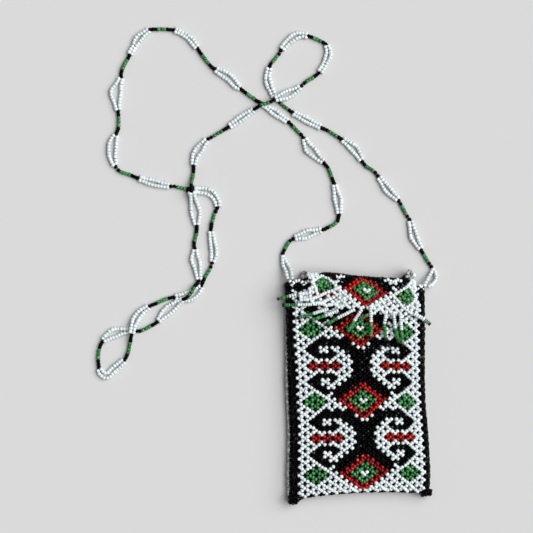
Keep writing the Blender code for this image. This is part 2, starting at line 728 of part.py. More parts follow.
def strap_routes():
    """The main strand's points, and those of each second strand, all on the strap's smooth curve."""
    (left_main, left_second), (right_main, right_second) = strap_ends()
    singles = [[route_point(pixel) for pixel in stretch] for stretch in SINGLE_STRETCHES]
    route = [left_main]
    stretches = []
    seconds = []
    for number, (main_pixels, second_pixels) in enumerate(DOUBLE_STRETCHES):
        start = singles[number - 1][-1] if number else left_main
        end = singles[number][0] if number < len(singles) else right_main
        main = [route_point(pixel) for pixel in main_pixels]
        second = [route_point(pixel) for pixel in second_pixels]
        inner = 0 < number < len(singles)
        if inner and not main:
            main = side_by_side(start, end, 1)
            second = side_by_side(start, end, -1)
        first = start if number else left_second
        last = end if number < len(singles) else right_second
        seconds.append((number, [first] + second + [last]))
        route += main
        stretches.append((number - 1, len(main) + 1))
        if number < len(singles):
            route += singles[number]
            stretches.append((number, len(singles[number]) - 1))
    route.append(right_main)

    spans = smooth_curve(route)
    points = [lifted(left_main, 0)]
    used = 0
    for stretch, count in stretches:
        places = [place for span in spans[used:used + count] for place in span]
        used += count
        end = spans[used][0] if used < len(spans) else right_main
        places.append(end)
        points += [lifted(place, stretch) for place in bend_points(places) + [end]]
    second_points = []
    for number, places in seconds:
        second_points.append([lifted(place, min(number, len(singles) - 1)) for place in places])
    return points, second_points


def tube_mesh(name, routes):
    """Round tubes along the routes: a bevelled curve with filled ends, made into a mesh."""
    curve = bpy.data.curves.new(name, "CURVE")
    curve.dimensions = "3D"
    curve.bevel_depth = BEAD_RADIUS
    curve.bevel_resolution = STRAP_SIDES_RESOLUTION
    curve.use_fill_caps = True
    for route in routes:
        spline = curve.splines.new("POLY")
        spline.points.add(len(route) - 1)
        for point, place in zip(spline.points, route):
            point.co = (*place, 1)
    guide = bpy.data.objects.new(name, curve)
    bpy.context.scene.collection.objects.link(guide)
    bpy.context.view_layer.update()
    mesh = bpy.data.meshes.new_from_object(guide.evaluated_get(bpy.context.evaluated_depsgraph_get()))
    bpy.data.objects.remove(guide, do_unlink=True)
    shape = bmesh.new()
    shape.from_mesh(mesh)
    bmesh.ops.remove_doubles(shape, verts=shape.verts, dist=CLEARANCE / 100)
    bmesh.ops.recalc_face_normals(shape, faces=shape.faces)
    shape.to_mesh(mesh)
    shape.free()
    return mesh


def make_strap(white):
    """The neck strap: its main strand, with the second strands of its double stretches joined on."""
    main, seconds = strap_routes()
    strap = add_object("neck_strap", tube_mesh("neck_strap", [main]), white)
    second = add_object("strap_second_strands", tube_mesh("strap_second_strands", seconds), white)
    second.hide_render = True
    second.display_type = "WIRE"
    joined = strap.modifiers.new("second_strands", "BOOLEAN")
    joined.operation = "UNION"
    joined.object = second
    joined.use_self = True
    print("strap points:", len(main), "length mm:", round(sum(
        (b - a).length for a, b in zip(main, main[1:])) / MM, 1))


def main():
    clear_scene()
    black = make_material("black_beads", (0.012, 0.012, 0.014), 0.25)
    white = make_material("white_beads", (0.82, 0.84, 0.86), 0.25)
    green = make_material("green_beads", (0.03, 0.26, 0.07), 0.25)
    cloth = make_material("black_lining", (0.008, 0.008, 0.008), 0.9)
    make_nets(black, white)
    make_lining(cloth)
    make_edging(white)
    make_tufts(black)
    flap_pivot = make_flap(white, black)
    make_fringe(flap_pivot, white, green, black)
    make_strap(white)


main()
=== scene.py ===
# %% [markdown]
# # Beaded pouch with a fringed flap and a long neck strap
# The real object is a small flat pouch netted from glass seed beads round a black cotton lining. Every bead
# is modelled: about seven thousand small glass rings, each turned and placed the way its thread holds it. A
# painted picture of beads on a flat plate would be far lighter, but it would lose the open mesh, the glints
# and the knobbly outline that make beadwork what it is.

# %% Load the fixed frame
import math
import random

import bpy
import numpy as np
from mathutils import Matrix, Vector


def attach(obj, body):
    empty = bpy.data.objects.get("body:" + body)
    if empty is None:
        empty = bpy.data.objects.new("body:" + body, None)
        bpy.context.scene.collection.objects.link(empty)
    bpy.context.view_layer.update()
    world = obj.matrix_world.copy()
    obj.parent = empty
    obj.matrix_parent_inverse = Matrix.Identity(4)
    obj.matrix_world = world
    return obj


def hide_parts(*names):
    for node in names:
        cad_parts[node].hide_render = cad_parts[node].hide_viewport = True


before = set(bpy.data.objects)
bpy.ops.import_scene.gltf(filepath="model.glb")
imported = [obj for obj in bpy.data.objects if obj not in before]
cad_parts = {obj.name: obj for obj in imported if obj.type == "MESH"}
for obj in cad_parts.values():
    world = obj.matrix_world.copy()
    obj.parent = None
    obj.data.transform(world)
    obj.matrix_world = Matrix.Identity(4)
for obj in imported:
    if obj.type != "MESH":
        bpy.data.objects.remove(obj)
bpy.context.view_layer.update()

# %% [markdown]
# ## Sizes
# All lengths are in metres. Places that were read off the reference picture are in its pixels, and one
# pixel is 0.645 mm on the object, because a size 11/0 bead is 2.1 mm across.

# %% Sizes of the beads and of the pouch
MM = 0.001
PIXEL = 0.645 * MM
PIXEL_CENTRE = (354.95, 387.2)
PICTURE_SIDE = 533
BEAD_RADIUS = 1.2 * MM
BEAD_LENGTH = 1.5 * MM
BEAD_HOLE = 0.38 * MM
BEAD_PITCH = 1.55 * MM
CLEARANCE = 0.3 * MM
BODY_DEPTH = 10.4 * MM
EDGE_RADIUS = BODY_DEPTH / 2
FOLD_CORE = EDGE_RADIUS - BEAD_RADIUS
FLAP_HEIGHT = BODY_DEPTH + CLEARANCE + BEAD_RADIUS
FLAP_SETTLED = 0.6 * MM
FRONT_LEVEL = BODY_DEPTH - BEAD_RADIUS
BACK_LEVEL = BEAD_RADIUS

chance = random.Random(11)


def picture_point(pixel):
    """Turns a place in the reference picture into metres on the object."""
    return Vector(((pixel[0] - PIXEL_CENTRE[0]) * PIXEL, (PIXEL_CENTRE[1] - pixel[1]) * PIXEL))


# %% [markdown]
# ## Camera
# The picture looks straight down. A long lens far above keeps the sides of the pouch from leaning outwards.

# %% Place the camera straight above
CAMERA_HEIGHT = 1.6
SENSOR = 36.0
SHARP_LEVEL = 5 * MM

camera_data = bpy.data.cameras.new("top_camera")
camera_data.sensor_width = SENSOR
camera_data.lens = SENSOR * (CAMERA_HEIGHT - SHARP_LEVEL) / (PICTURE_SIDE * PIXEL)
camera_data.clip_end = 10.0
camera = bpy.data.objects.new("top_camera", camera_data)
bpy.context.scene.collection.objects.link(camera)
middle = picture_point((PICTURE_SIDE / 2, PICTURE_SIDE / 2))
camera.location = (middle.x, middle.y, CAMERA_HEIGHT)
bpy.context.scene.camera = camera
print("Lens in mm:", round(camera_data.lens, 1))

# %% [markdown]
# ## Light and floor
# One wide lamp stands high on the right, so the shade falls to the left of the pouch, soft at its rim. A
# weak narrow lamp in the same place puts a small bright glint on every bead. A dim white sky fills the
# shade. The plain view transform keeps the whites of the beads clean and the blacks deep.

# %% Set the sky, the lamp and the floor
SKY_STRENGTH = 0.2
LAMP_STRENGTH = 4.3
LAMP_ANGLE = math.radians(68)
LAMP_ELEVATION = math.radians(52)
LAMP_HEADING = math.radians(12)
GLINT_STRENGTH = 0.35
GLINT_ANGLE = math.radians(9)
FLOOR_SHADE = 0.513
FLOOR_ROUGHNESS = 0.9
FLOOR_REACH = 3.0
FLOOR_CORNERS = ((-1, -1), (1, -1), (1, 1), (-1, 1))

bpy.context.scene.view_settings.view_transform = "Standard"
world = bpy.data.worlds.new("studio_sky")
world.use_nodes = True
world.node_tree.nodes["Background"].inputs["Color"].default_value = (1.0, 1.0, 1.0, 1.0)
world.node_tree.nodes["Background"].inputs["Strength"].default_value = SKY_STRENGTH
bpy.context.scene.world = world

towards_lamp = Vector((
    math.cos(LAMP_ELEVATION) * math.cos(LAMP_HEADING),
    math.cos(LAMP_ELEVATION) * math.sin(LAMP_HEADING),
    math.sin(LAMP_ELEVATION),
))


def hang_lamp(name, strength, angle):
    """A far lamp in the light's direction; a wide angle gives soft shade, a narrow one a sharp glint."""
    lamp_data = bpy.data.lights.new(name, "SUN")
    lamp_data.energy = strength
    lamp_data.angle = angle
    lamp = bpy.data.objects.new(name, lamp_data)
    bpy.context.scene.collection.objects.link(lamp)
    lamp.rotation_mode = "QUATERNION"
    lamp.rotation_quaternion = towards_lamp.to_track_quat("Z", "Y")


hang_lamp("broad_lamp", LAMP_STRENGTH, LAMP_ANGLE)
hang_lamp("glint_lamp", GLINT_STRENGTH, GLINT_ANGLE)

floor_mesh = bpy.data.meshes.new("studio_floor")
floor_points = [(x * FLOOR_REACH, y * FLOOR_REACH, 0) for x, y in FLOOR_CORNERS]
floor_mesh.from_pydata(floor_points, [], [(0, 1, 2, 3)])
studio_floor = bpy.data.objects.new("studio_floor", floor_mesh)
bpy.context.scene.collection.objects.link(studio_floor)
floor_paint = bpy.data.materials.new("pale_floor")
floor_paint.use_nodes = True
floor_shader = floor_paint.node_tree.nodes["Principled BSDF"]
floor_shader.inputs["Base Color"].default_value = (FLOOR_SHADE,) * 3 + (1.0,)
floor_shader.inputs["Roughness"].default_value = FLOOR_ROUGHNESS
floor_shader.inputs["Specular IOR Level"].default_value = 0.0
floor_mesh.materials.append(floor_paint)

# %% [markdown]
# ## Bead glass
# No two seed beads are the same: the glass is a little lighter or darker from bead to bead, and some have a
# duller skin. Each bead mesh carries a number of its own, bead_tone, and one shared node group turns it
# into a colour and a roughness.

# %% Build the shared bead glass group
STREAK_SCALE = 1000.0
STREAK_DETAIL = 2.0
STREAK_RANGE = (0.36, 0.64)
HALF_TONE = 0.5
DEEP_TONE_POWER = 1.4
GLINT_RANGE = (0.88, 0.98)
SKIN_BUMP_STRENGTH = 0.12
SKIN_BUMP_DEPTH = 0.05 * MM
COAT_ROUGHNESS = 0.08


def add_node(tree, kind, values=None, **settings):
    """Adds a node with these settings and with these values in its inputs."""
    node = tree.nodes.new(kind)
    for setting, value in settings.items():
        setattr(node, setting, value)
    for socket, value in (values or {}).items():
        node.inputs[socket].default_value = value
    return node


def join_nodes(tree, joins):
    """Links nodes; each row is a node, its output, the next node and its input."""
    for source, output, target, entry in joins:
        tree.links.new(source.outputs[output], target.inputs[entry])


bead_glass = bpy.data.node_groups.new("bead_glass", "ShaderNodeTree")
for way, kind, names in (
    ("INPUT", "NodeSocketColor", ("Dark Glass", "Light Glass")),
    ("INPUT", "NodeSocketFloat", ("Low Roughness", "High Roughness")),
    ("OUTPUT", "NodeSocketColor", ("Color",)),
    ("OUTPUT", "NodeSocketFloat", ("Roughness", "Height", "Glint")),
):
    for name in names:
        bead_glass.interface.new_socket(name, in_out=way, socket_type=kind)

glass_in = add_node(bead_glass, "NodeGroupInput")
glass_out = add_node(bead_glass, "NodeGroupOutput")
tone = add_node(bead_glass, "ShaderNodeAttribute", attribute_name="bead_tone")
glass_place = add_node(bead_glass, "ShaderNodeTexCoord")
streaks = add_node(bead_glass, "ShaderNodeTexNoise", {"Scale": STREAK_SCALE, "Detail": STREAK_DETAIL})
streak_spread = add_node(bead_glass, "ShaderNodeMapRange", dict(zip(("From Min", "From Max"), STREAK_RANGE)))
mixed_tone = add_node(bead_glass, "ShaderNodeMath", {1: HALF_TONE}, operation="MULTIPLY_ADD")
tone_left = add_node(bead_glass, "ShaderNodeMath", {1: HALF_TONE}, operation="MULTIPLY")
deep_tone = add_node(bead_glass, "ShaderNodeMath", {1: DEEP_TONE_POWER}, operation="POWER")
glint = add_node(bead_glass, "ShaderNodeMapRange", dict(zip(("From Min", "From Max"), GLINT_RANGE)))
glass_mix = add_node(bead_glass, "ShaderNodeMix", data_type="RGBA")
rough_mix = add_node(bead_glass, "ShaderNodeMix")
join_nodes(bead_glass, (
    (glass_place, "Object", streaks, "Vector"),
    (streaks, "Fac", streak_spread, "Value"),
    (streaks, "Fac", glass_out, "Height"),
    (tone, "Fac", tone_left, 0),
    (tone, "Fac", glint, "Value"),
    (glint, "Result", glass_out, "Glint"),
    (streak_spread, "Result", mixed_tone, 0),
    (tone_left, 0, mixed_tone, 2),
    (mixed_tone, 0, deep_tone, 0),
    (mixed_tone, 0, rough_mix, "Factor"),
    (deep_tone, 0, glass_mix, "Factor"),
    (glass_in, "Dark Glass", glass_mix, 6),
    (glass_in, "Light Glass", glass_mix, 7),
    (glass_mix, 2, glass_out, "Color"),
    (glass_in, "Low Roughness", rough_mix, 2),
    (glass_in, "High Roughness", rough_mix, 3),
    (rough_mix, 0, glass_out, "Roughness"),
))


def bead_material(name, dark, light, low_rough, high_rough, coat, shine):
    """One colour of bead glass: the shared group's colour and roughness under a clear fired skin."""
    material = bpy.data.materials.new(name)
    material.use_nodes = True
    tree = material.node_tree
    shader = tree.nodes["Principled BSDF"]
    glass = add_node(tree, "ShaderNodeGroup", {
        "Dark Glass": (*dark, 1.0), "Light Glass": (*light, 1.0),
        "Low Roughness": low_rough, "High Roughness": high_rough,
    }, node_tree=bead_glass)
    bump = add_node(tree, "ShaderNodeBump", {"Strength": SKIN_BUMP_STRENGTH, "Distance": SKIN_BUMP_DEPTH})
    join_nodes(tree, (
        (glass, "Color", shader, "Base Color"),
        (glass, "Roughness", shader, "Roughness"),
        (glass, "Height", bump, "Height"),
        (bump, "Normal", shader, "Normal"),
    ))
    shader.inputs["Specular IOR Level"].default_value = shine
    shader.inputs["Coat Weight"].default_value = coat
    shader.inputs["Coat Roughness"].default_value = COAT_ROUGHNESS
    if not coat:
        join_nodes(tree, ((glass, "Glint", shader, "Coat Weight"),))
    return material


# %% Mix the six glasses
WHITE = "white"
# grey glass that paints shade into white beads lying in shadow
SMOKE = "painted_shade"
BLACK = "black"
RED = "red"
GREEN = "green"
DARK = "dark"
glasses = {
    WHITE: bead_material("white_bead_glass", (0.49, 0.55, 0.57), (0.79, 0.84, 0.845), 0.18, 0.38, 0.25, 0.35),
    # painted shade: white beads in shadow, drawn in grey glass
    SMOKE: bead_material("painted_shade_bead_glass", (0.22, 0.22, 0.215), (0.48, 0.485, 0.48), 0.25, 0.45, 0.1, 0.3),
    BLACK: bead_material(
        "black_bead_glass", (0.0003, 0.0003, 0.0004), (0.002, 0.002, 0.002), 0.12, 0.3, 0.0, 0.05),
    RED: bead_material("red_bead_glass", (0.07, 0.002, 0.006), (0.60, 0.020, 0.012), 0.14, 0.3, 0.0, 0.16),
    GREEN: bead_material(
        "green_bead_glass", (0.008, 0.060, 0.015), (0.10, 0.405, 0.132), 0.14, 0.3, 0.0, 0.26),
    DARK: bead_material(
        "dark_bead_glass", (0.003, 0.003, 0.003), (0.014, 0.012, 0.010), 0.16, 0.34, 0.0, 0.15),
}
print("Bead glasses:", ", ".join(glasses))

# %% [markdown]
# ## One bead, many times
# A seed bead is a short ring with a rounded belly. Its outline is turned round its hole once, and then
# copied with arrays of numbers, which is far quicker than adding thousands of objects. Every copy gets its
# own small patch of the picture map named OFBake, so that its own tone can be painted there.

# %% The bead's outline and its copies
RING_SIDES = 12
BEAD_OUTLINE = (
    (BEAD_HOLE, -0.30), (0.74 * BEAD_RADIUS, -0.50), (BEAD_RADIUS * 0.97, -0.27),
    (BEAD_RADIUS * 0.97, 0.27), (0.74 * BEAD_RADIUS, 0.50), (BEAD_HOLE, 0.30),
)


def ring_template():
    """Vertices and faces of one bead whose hole runs along X, with its patch of the picture map."""
    points = []
    for side in range(RING_SIDES):
        angle = math.tau * side / RING_SIDES
        for radius, along in BEAD_OUTLINE:
            points.append((along * BEAD_LENGTH, radius * math.cos(angle), radius * math.sin(angle)))
    faces = []
    patches = []
    rows = len(BEAD_OUTLINE)
    for side in range(RING_SIDES):
        after = (side + 1) % RING_SIDES
        for row in range(rows):
            above = (row + 1) % rows
            faces.append((side * rows + row, after * rows + row, after * rows + above, side * rows + above))
            for across, up in ((side, row), (side + 1, row), (side + 1, row + 1), (side, row + 1)):
                patches.append((across / RING_SIDES, up / rows))
    return np.array(points), np.array(faces), np.array(patches)


RING_POINTS, RING_FACES, RING_PATCHES = ring_template()
TILT_SPREAD = math.radians(11)
SIZE_SPREAD = 0.07
PLACE_SPREAD = 0.11 * MM
STEEP_AXIS = 0.9
PATCH_MARGIN = 0.04


def bead(place, axis, size=1.0, length=1.0, looseness=1.0, top_tone=1.0):
    """Everything that one copy needs: where it is, where its hole points, how big it is, and its tone."""
    place = Vector(place) + Vector([chance.gauss(0, PLACE_SPREAD * looseness) for _ in range(3)])
    axis = Vector(axis).normalized() + Vector([chance.gauss(0, TILT_SPREAD * looseness) for _ in range(3)])
    size = size * (1 + chance.uniform(-SIZE_SPREAD, SIZE_SPREAD))
    return (place, axis.normalized(), size, length, top_tone * chance.random())


def bead_piece(name, groups):
    """Makes one mesh of all the beads in groups, a dictionary from a glass to its beads."""
    used = [glass for glass in groups if groups[glass]]
    beads = [(one, index) for index, glass in enumerate(used) for one in groups[glass]]
    count = len(beads)
    points = np.empty((count, len(RING_POINTS), 3))
    for number, ((place, axis, size, length, _), _) in enumerate(beads):
        helper = Vector((0, 0, 1)) if abs(axis.z) < STEEP_AXIS else Vector((0, 1, 0))
        side = helper.cross(axis).normalized()
        turn = np.array((axis * length, side, axis.cross(side))) * size
        points[number] = RING_POINTS @ turn + np.array(place)
    faces = RING_FACES[None] + (np.arange(count) * len(RING_POINTS))[:, None, None]
    mesh = bpy.data.meshes.new(name)
    mesh.vertices.add(count * len(RING_POINTS))
    mesh.vertices.foreach_set("co", points.ravel())
    mesh.loops.add(faces.size)
    mesh.loops.foreach_set("vertex_index", faces.ravel().astype(np.int32))
    mesh.polygons.add(count * len(RING_FACES))
    mesh.polygons.foreach_set("loop_start", np.arange(0, faces.size, 4, dtype=np.int32))
    glass_of_face = np.repeat([slot for _, slot in beads], len(RING_FACES)).astype(np.int32)
    mesh.polygons.foreach_set("material_index", glass_of_face)
    mesh.polygons.foreach_set("use_smooth", np.ones(count * len(RING_FACES), dtype=bool))
    mesh.update(calc_edges=True)
    tones = mesh.attributes.new("bead_tone", "FLOAT", "POINT")
    tone_of_point = np.repeat([one[4] for one, _ in beads], len(RING_POINTS)).astype(np.float32)
    tones.data.foreach_set("value", tone_of_point)
    cells = math.ceil(math.sqrt(count))
    cell = np.stack((np.arange(count) % cells, np.arange(count) // cells), axis=1)
    patch_map = (cell[:, None, :] + PATCH_MARGIN + (1 - 2 * PATCH_MARGIN) * RING_PATCHES[None]) / cells
    mesh.uv_layers.new(name="OFBake").data.foreach_set("uv", patch_map.ravel().astype(np.float32))
    for glass in used:
        mesh.materials.append(glasses[glass])
    piece = bpy.data.objects.new(name, mesh)
    bpy.context.scene.collection.objects.link(piece)
    print(name, "has", count, "beads")
    return piece


# %% [markdown]
# ## Neck strap
# The strap is one long strand. Its short stretches of black, green and black beads are single, and between
# them the thread takes a second way round, so that two strands of white beads lie side by side. The beads
# follow a smooth curve through places along the real strap, and rise where the strap crosses over itself.

# %% The strap's places, in picture pixels
# Each single stretch: where it starts, where black turns to green, where green turns to black, and its end.
SINGLE_STRETCHES = (
    ((282.5, 255.0), (285.0, 249.0), (289.0, 242.0), (294.9, 237.7)),
    ((321.5, 230.0), (329.0, 227.0), (337.0, 222.0), (339.4, 213.3)),
    ((334.8, 184.5), (332.0, 177.0), (328.6, 168.0), (323.1, 161.5)),
    ((304.6, 138.6), (300.0, 133.0), (292.5, 125.5), (287.4, 121.0)),
    ((262.6, 103.7), (255.0, 99.0), (246.5, 93.0), (239.6, 87.3)),
    ((215.8, 69.3), (209.0, 63.5), (202.0, 54.5), (196.7, 46.8)),
    ((174.7, 29.6), (166.0, 28.8), (157.0, 28.8), (148.4, 29.6)),
    ((129.7, 53.5), (127.0, 59.0), (122.0, 69.0), (120.7, 77.9)),
    ((117.8, 109.5), (118.3, 116.0), (118.3, 127.0), (115.4, 135.3)),
    ((114.7, 165.0), (119.5, 171.0), (130.0, 174.7), (139.2, 178.3)),
    ((168.8, 185.9), (176.0, 186.5), (186.6, 189.0), (194.3, 190.0)),
    ((217.7, 205.9), (214.9, 213.0), (212.0, 222.5), (210.8, 231.4)),
    ((212.1, 261.4), (210.0, 268.6), (204.5, 278.0), (200.9, 286.9)),
    ((175.4, 297.4), (167.5, 298.7), (157.0, 303.0), (147.9, 307.1)),
    ((131.5, 333.2), (130.0, 342.0), (127.4, 354.0), (123.4, 361.2)),
    ((98.9, 369.4), (97.9, 359.5), (98.9, 349.0), (103.0, 340.3)),
    ((134.6, 331.1), (141.0, 330.7), (151.0, 326.0), (158.1, 320.9)),
    ((182.0, 300.0), (188.5, 296.0), (194.3, 287.0), (198.9, 279.1)),
    ((194.8, 249.7), (194.3, 241.5), (196.3, 233.0), (196.3, 224.7)),
    ((191.7, 192.0), (191.2, 184.0), (193.3, 173.0), (193.3, 164.5)),
    ((206.4, 139.7), (213.0, 136.0), (222.5, 130.3), (229.3, 125.9)),
    ((253.4, 109.5), (260.0, 105.4), (269.3, 102.0), (275.6, 98.8)),
    ((300.1, 86.6), (306.0, 81.5), (314.0, 76.5), (320.2, 71.3)),
    ((326.9, 44.9), (322.0, 41.0), (313.0, 37.0), (307.1, 35.0)),
    ((281.9, 48.4), (278.0, 55.0), (272.0, 62.0), (269.1, 67.5)),
    ((274.5, 96.5), (280.0, 102.5), (288.0, 108.7), (293.6, 112.6)),
    ((320.6, 126.8), (328.5, 130.4), (337.6, 136.2), (343.2, 139.5)),
    ((361.6, 159.7), (366.0, 165.5), (374.0, 171.0), (379.3, 176.9)),
    ((397.9, 198.9), (402.0, 205.3), (406.7, 214.5), (410.8, 220.9)),
    ((420.9, 248.6), (424.0, 254.0), (428.7, 262.0), (432.4, 268.2)),
)

# Each double stretch: the places that the main strand passes, then those of the second strand. Where there
# are none, the two lie side by side.
DOUBLE_STRETCHES = (
    (((285.6, 271.5), (282.8, 264.0)), ((291.3, 270.8), (288.0, 264.3))),
    (((307.0, 230.5),), ((306.5, 238.0),)),
    (((341.5, 199.0),), ((334.5, 199.0),)),
    (((315.5, 149.0),), ((309.7, 154.2), (305.3, 149.0))),
    ((), ()),
    (((236.5, 81.5), (231.5, 75.0), (224.0, 70.8)), ((234.5, 86.7), (228.0, 80.3), (221.0, 75.3))),
    (((192.7, 38.7), (187.0, 34.0), (180.5, 31.0)), ((190.8, 42.2), (187.0, 38.0), (181.0, 33.8))),
    (((136.2, 36.5),), ((139.8, 41.0),)),
    (((120.5, 92.0),), ((110.5, 92.0),)),
    (((116.0, 143.0), (115.3, 150.0), (115.0, 157.0)), ((109.5, 141.0), (108.2, 149.0), (109.5, 157.5))),
    (((148.0, 179.0), (158.0, 181.2)), ((147.0, 183.0), (157.0, 185.8))),
    (((203.0, 188.3), (211.0, 190.2), (215.8, 194.5), (218.3, 200.0)),
     ((202.5, 192.8), (209.0, 195.2), (212.7, 198.6), (215.3, 202.5))),
    (((210.0, 239.5), (211.0, 251.0)), ((214.0, 239.5), (216.2, 249.0), (215.8, 257.0))),
    (((197.5, 295.5), (187.0, 301.0)), ((192.0, 291.0), (182.5, 294.0))),
    (((137.8, 311.8), (132.0, 321.0)), ((141.5, 315.5), (136.2, 323.8))),
    (((115.0, 371.5), (106.5, 378.5), (99.8, 375.0)), ((112.5, 367.5), (106.5, 373.5), (102.5, 371.5))),
    (((110.0, 331.0), (120.0, 329.0)), ((112.5, 338.0), (122.0, 334.0))),
    (((161.5, 312.3), (169.5, 304.7)), ((167.5, 315.5), (175.5, 308.7))),
    (((200.0, 263.0),), ((191.5, 260.0),)),
    (((191.8, 216.0), (190.7, 205.0)), ((199.7, 214.5), (197.3, 204.0))),
    (((192.3, 155.0), (197.3, 146.0)), ((197.5, 157.0), (203.0, 149.0))),
    ((), ()),
    (((282.5, 92.7), (291.0, 89.2)), ((284.5, 98.6), (293.0, 94.8))),
    (((328.5, 61.0), (331.0, 52.5)), ((324.2, 60.5), (326.5, 52.5))),
    (((298.0, 32.5), (289.0, 37.0)), ((299.0, 37.0), (291.5, 41.5))),
    (((265.5, 78.0), (268.0, 88.0)), ((269.8, 78.0), (272.5, 87.0))),
    ((), ()),
    (((351.5, 142.5), (358.7, 149.0)), ((348.3, 146.7), (355.3, 154.0))),
    (((385.7, 182.5), (391.7, 189.3)), ((382.3, 185.0), (387.0, 192.8))),
    (((414.5, 228.0), (418.3, 238.0)), ((410.2, 230.5), (412.2, 239.5))),
    (((431.6, 272.3), (427.6, 279.0)), ((436.2, 273.2), (435.7, 280.5), (431.3, 285.3))),
)

# Where the strap passes over itself, and the number of the single stretch that lies on top there
STRAP_CROSSINGS = (
    ((191.7, 190.0), 19),
    ((190.0, 294.5), 17),
    ((132.0, 331.0), 14),
    ((262.0, 104.5), 21),
    ((275.0, 98.5), 21),
)

# %% [markdown]
# The curve through the places is a Catmull-Rom spline, which passes through each of them and needs no
# handles.

# %% Curves and heights of the strands
CURVE_STEPS = 10
TINY = 1e-9
CROSSING_RISE = 2.6 * MM
CROSSING_REACH = 11.0 * MM
END_REACH = 13.0 * MM
BODY_TOP_LEFT = Vector((-44.46, 68.54)) * MM
BODY_TOP_RIGHT = Vector((45.81, 64.06)) * MM


def blend_four(before, start, end, after, share):
    """A point of the Catmull-Rom curve between start and end."""
    bent = (2 * before - 5 * start + 4 * end - after) * share * share
    twist = (3 * start - before - 3 * end + after) * share * share * share
    return 0.5 * (2 * start + (end - before) * share + bent + twist)


def smooth_spans(points):
    """The curve through the points, as one list of close points for each span."""
    padded = [2 * points[0] - points[1]] + points + [2 * points[-1] - points[-2]]
    spans = []
    for before, start, end, after in zip(padded, padded[1:], padded[2:], padded[3:]):
        shares = [step / CURVE_STEPS for step in range(CURVE_STEPS)]
        spans.append([blend_four(before, start, end, after, share) for share in shares])
    spans[-1].append(points[-1])
    return spans


def side_by_side(start, end, side):
    """Two places that carry a strand beside its twin on a straight double stretch."""
    along = (end - start).normalized()
    offset = Vector((-along.y, along.x)) * side * (BEAD_RADIUS + CLEARANCE / 2)
    return [start.lerp(end, 1 / 3) + offset, start.lerp(end, 2 / 3) + offset]


SEAT = CLEARANCE + BEAD_RADIUS / 2
strap_ends = (
    (BODY_TOP_LEFT + Vector((BEAD_RADIUS, SEAT)), BODY_TOP_LEFT + Vector((EDGE_RADIUS - BEAD_RADIUS, SEAT))),
    (BODY_TOP_RIGHT + Vector((-BEAD_RADIUS, SEAT)), BODY_TOP_RIGHT + Vector((BEAD_RADIUS, SEAT))),
)


def rise_at(place, stretch):
    """Height that the strap gains at a place: over another stretch, and up to the pouch at its ends."""
    rise = 0.0
    for pixel, top_stretch in STRAP_CROSSINGS:
        distance = (place - picture_point(pixel)).length / CROSSING_REACH
        if abs(stretch - top_stretch) <= 1 and distance < 1:
            rise = max(rise, CROSSING_RISE * (1 + math.cos(math.pi * distance)) / 2)
    for end in strap_ends:
        distance = (place - end[0]).length / END_REACH
        if distance < 1:
            rise = max(rise, FOLD_CORE * (1 + math.cos(math.pi * distance)) / 2)
    return rise


def lifted(place, stretch):
    """The place at the height where a strap bead lies."""
    return Vector((place.x, place.y, BEAD_RADIUS + rise_at(place, stretch)))


def walk(points, start_gap=0.0, pitch=BEAD_PITCH):
    """Places and directions for whole beads that fill a line of points evenly."""
    lengths = [(b - a).length for a, b in zip(points, points[1:])]
    total = sum(lengths)
    count = max(1, round((total - start_gap) / pitch))
    found = []
    step = (total - start_gap) / count
    wanted = [start_gap + step * (number + 0.5) for number in range(count)]
    travelled = 0.0
    for (a, b), length in zip(zip(points, points[1:]), lengths):
        while wanted and wanted[0] <= travelled + length + TINY:
            share = (wanted.pop(0) - travelled) / max(length, TINY)
            found.append((a.lerp(b, min(1.0, share)), (b - a)))
        travelled += length
    return found


# %% [markdown]
# The strap's beads are longer than the net's and hide the thread. The two strands of a pair end bluntly
# beside each other. Where the strap crosses itself left of the middle, the picture shows a clump of black
# beads, so the beads there are bigger and make a small knob.

# %% Beads on the strap's thread
STRING_LOOSENESS = 0.5
STRAP_PITCH = 2.05 * MM
STRAP_BEAD_SIZE = 1.06
STRAP_BEAD_LENGTH_SHARE = 1.34
STRAP_TOP_TONE = 0.66
SHADED_TOP_TONE = 0.05
KNOB_PLACE = (192.2, 190.2)
KNOB_REACH = 3.2 * MM
KNOB_BEAD_SIZE = 1.5
PAIR_END_SHARE = 0.25
PAIR_END_OFFSET = 1.15 * MM


def strung(points, top_tone):
    """Beads that sit close on the strap's thread, bigger in the knob."""
    knob = picture_point(KNOB_PLACE)
    beads = []
    for spot, along in walk(points, pitch=STRAP_PITCH):
        in_knob = (spot.to_2d() - knob).length < KNOB_REACH
        size = KNOB_BEAD_SIZE if in_knob else STRAP_BEAD_SIZE
        place = spot + Vector((0, 0, (size - 1) * BEAD_RADIUS))
        beads.append(bead(place, along, size, STRAP_BEAD_LENGTH_SHARE, STRING_LOOSENESS, top_tone))
    return beads


def spread_pair(points, side):
    """Moves both ends of one strand of a pair out sideways, clear of the other strand."""
    found = []
    for number, point in enumerate(points):
        share = number / (len(points) - 1)
        near_end = max(0.0, 1 - min(share, 1 - share) / PAIR_END_SHARE)
        before = points[max(0, number - 1)]
        after = points[min(len(points) - 1, number + 1)]
        along = (after - before).normalized()
        found.append(point + Vector((-along.y, along.x, 0)) * side * near_end * PAIR_END_OFFSET)
    return found


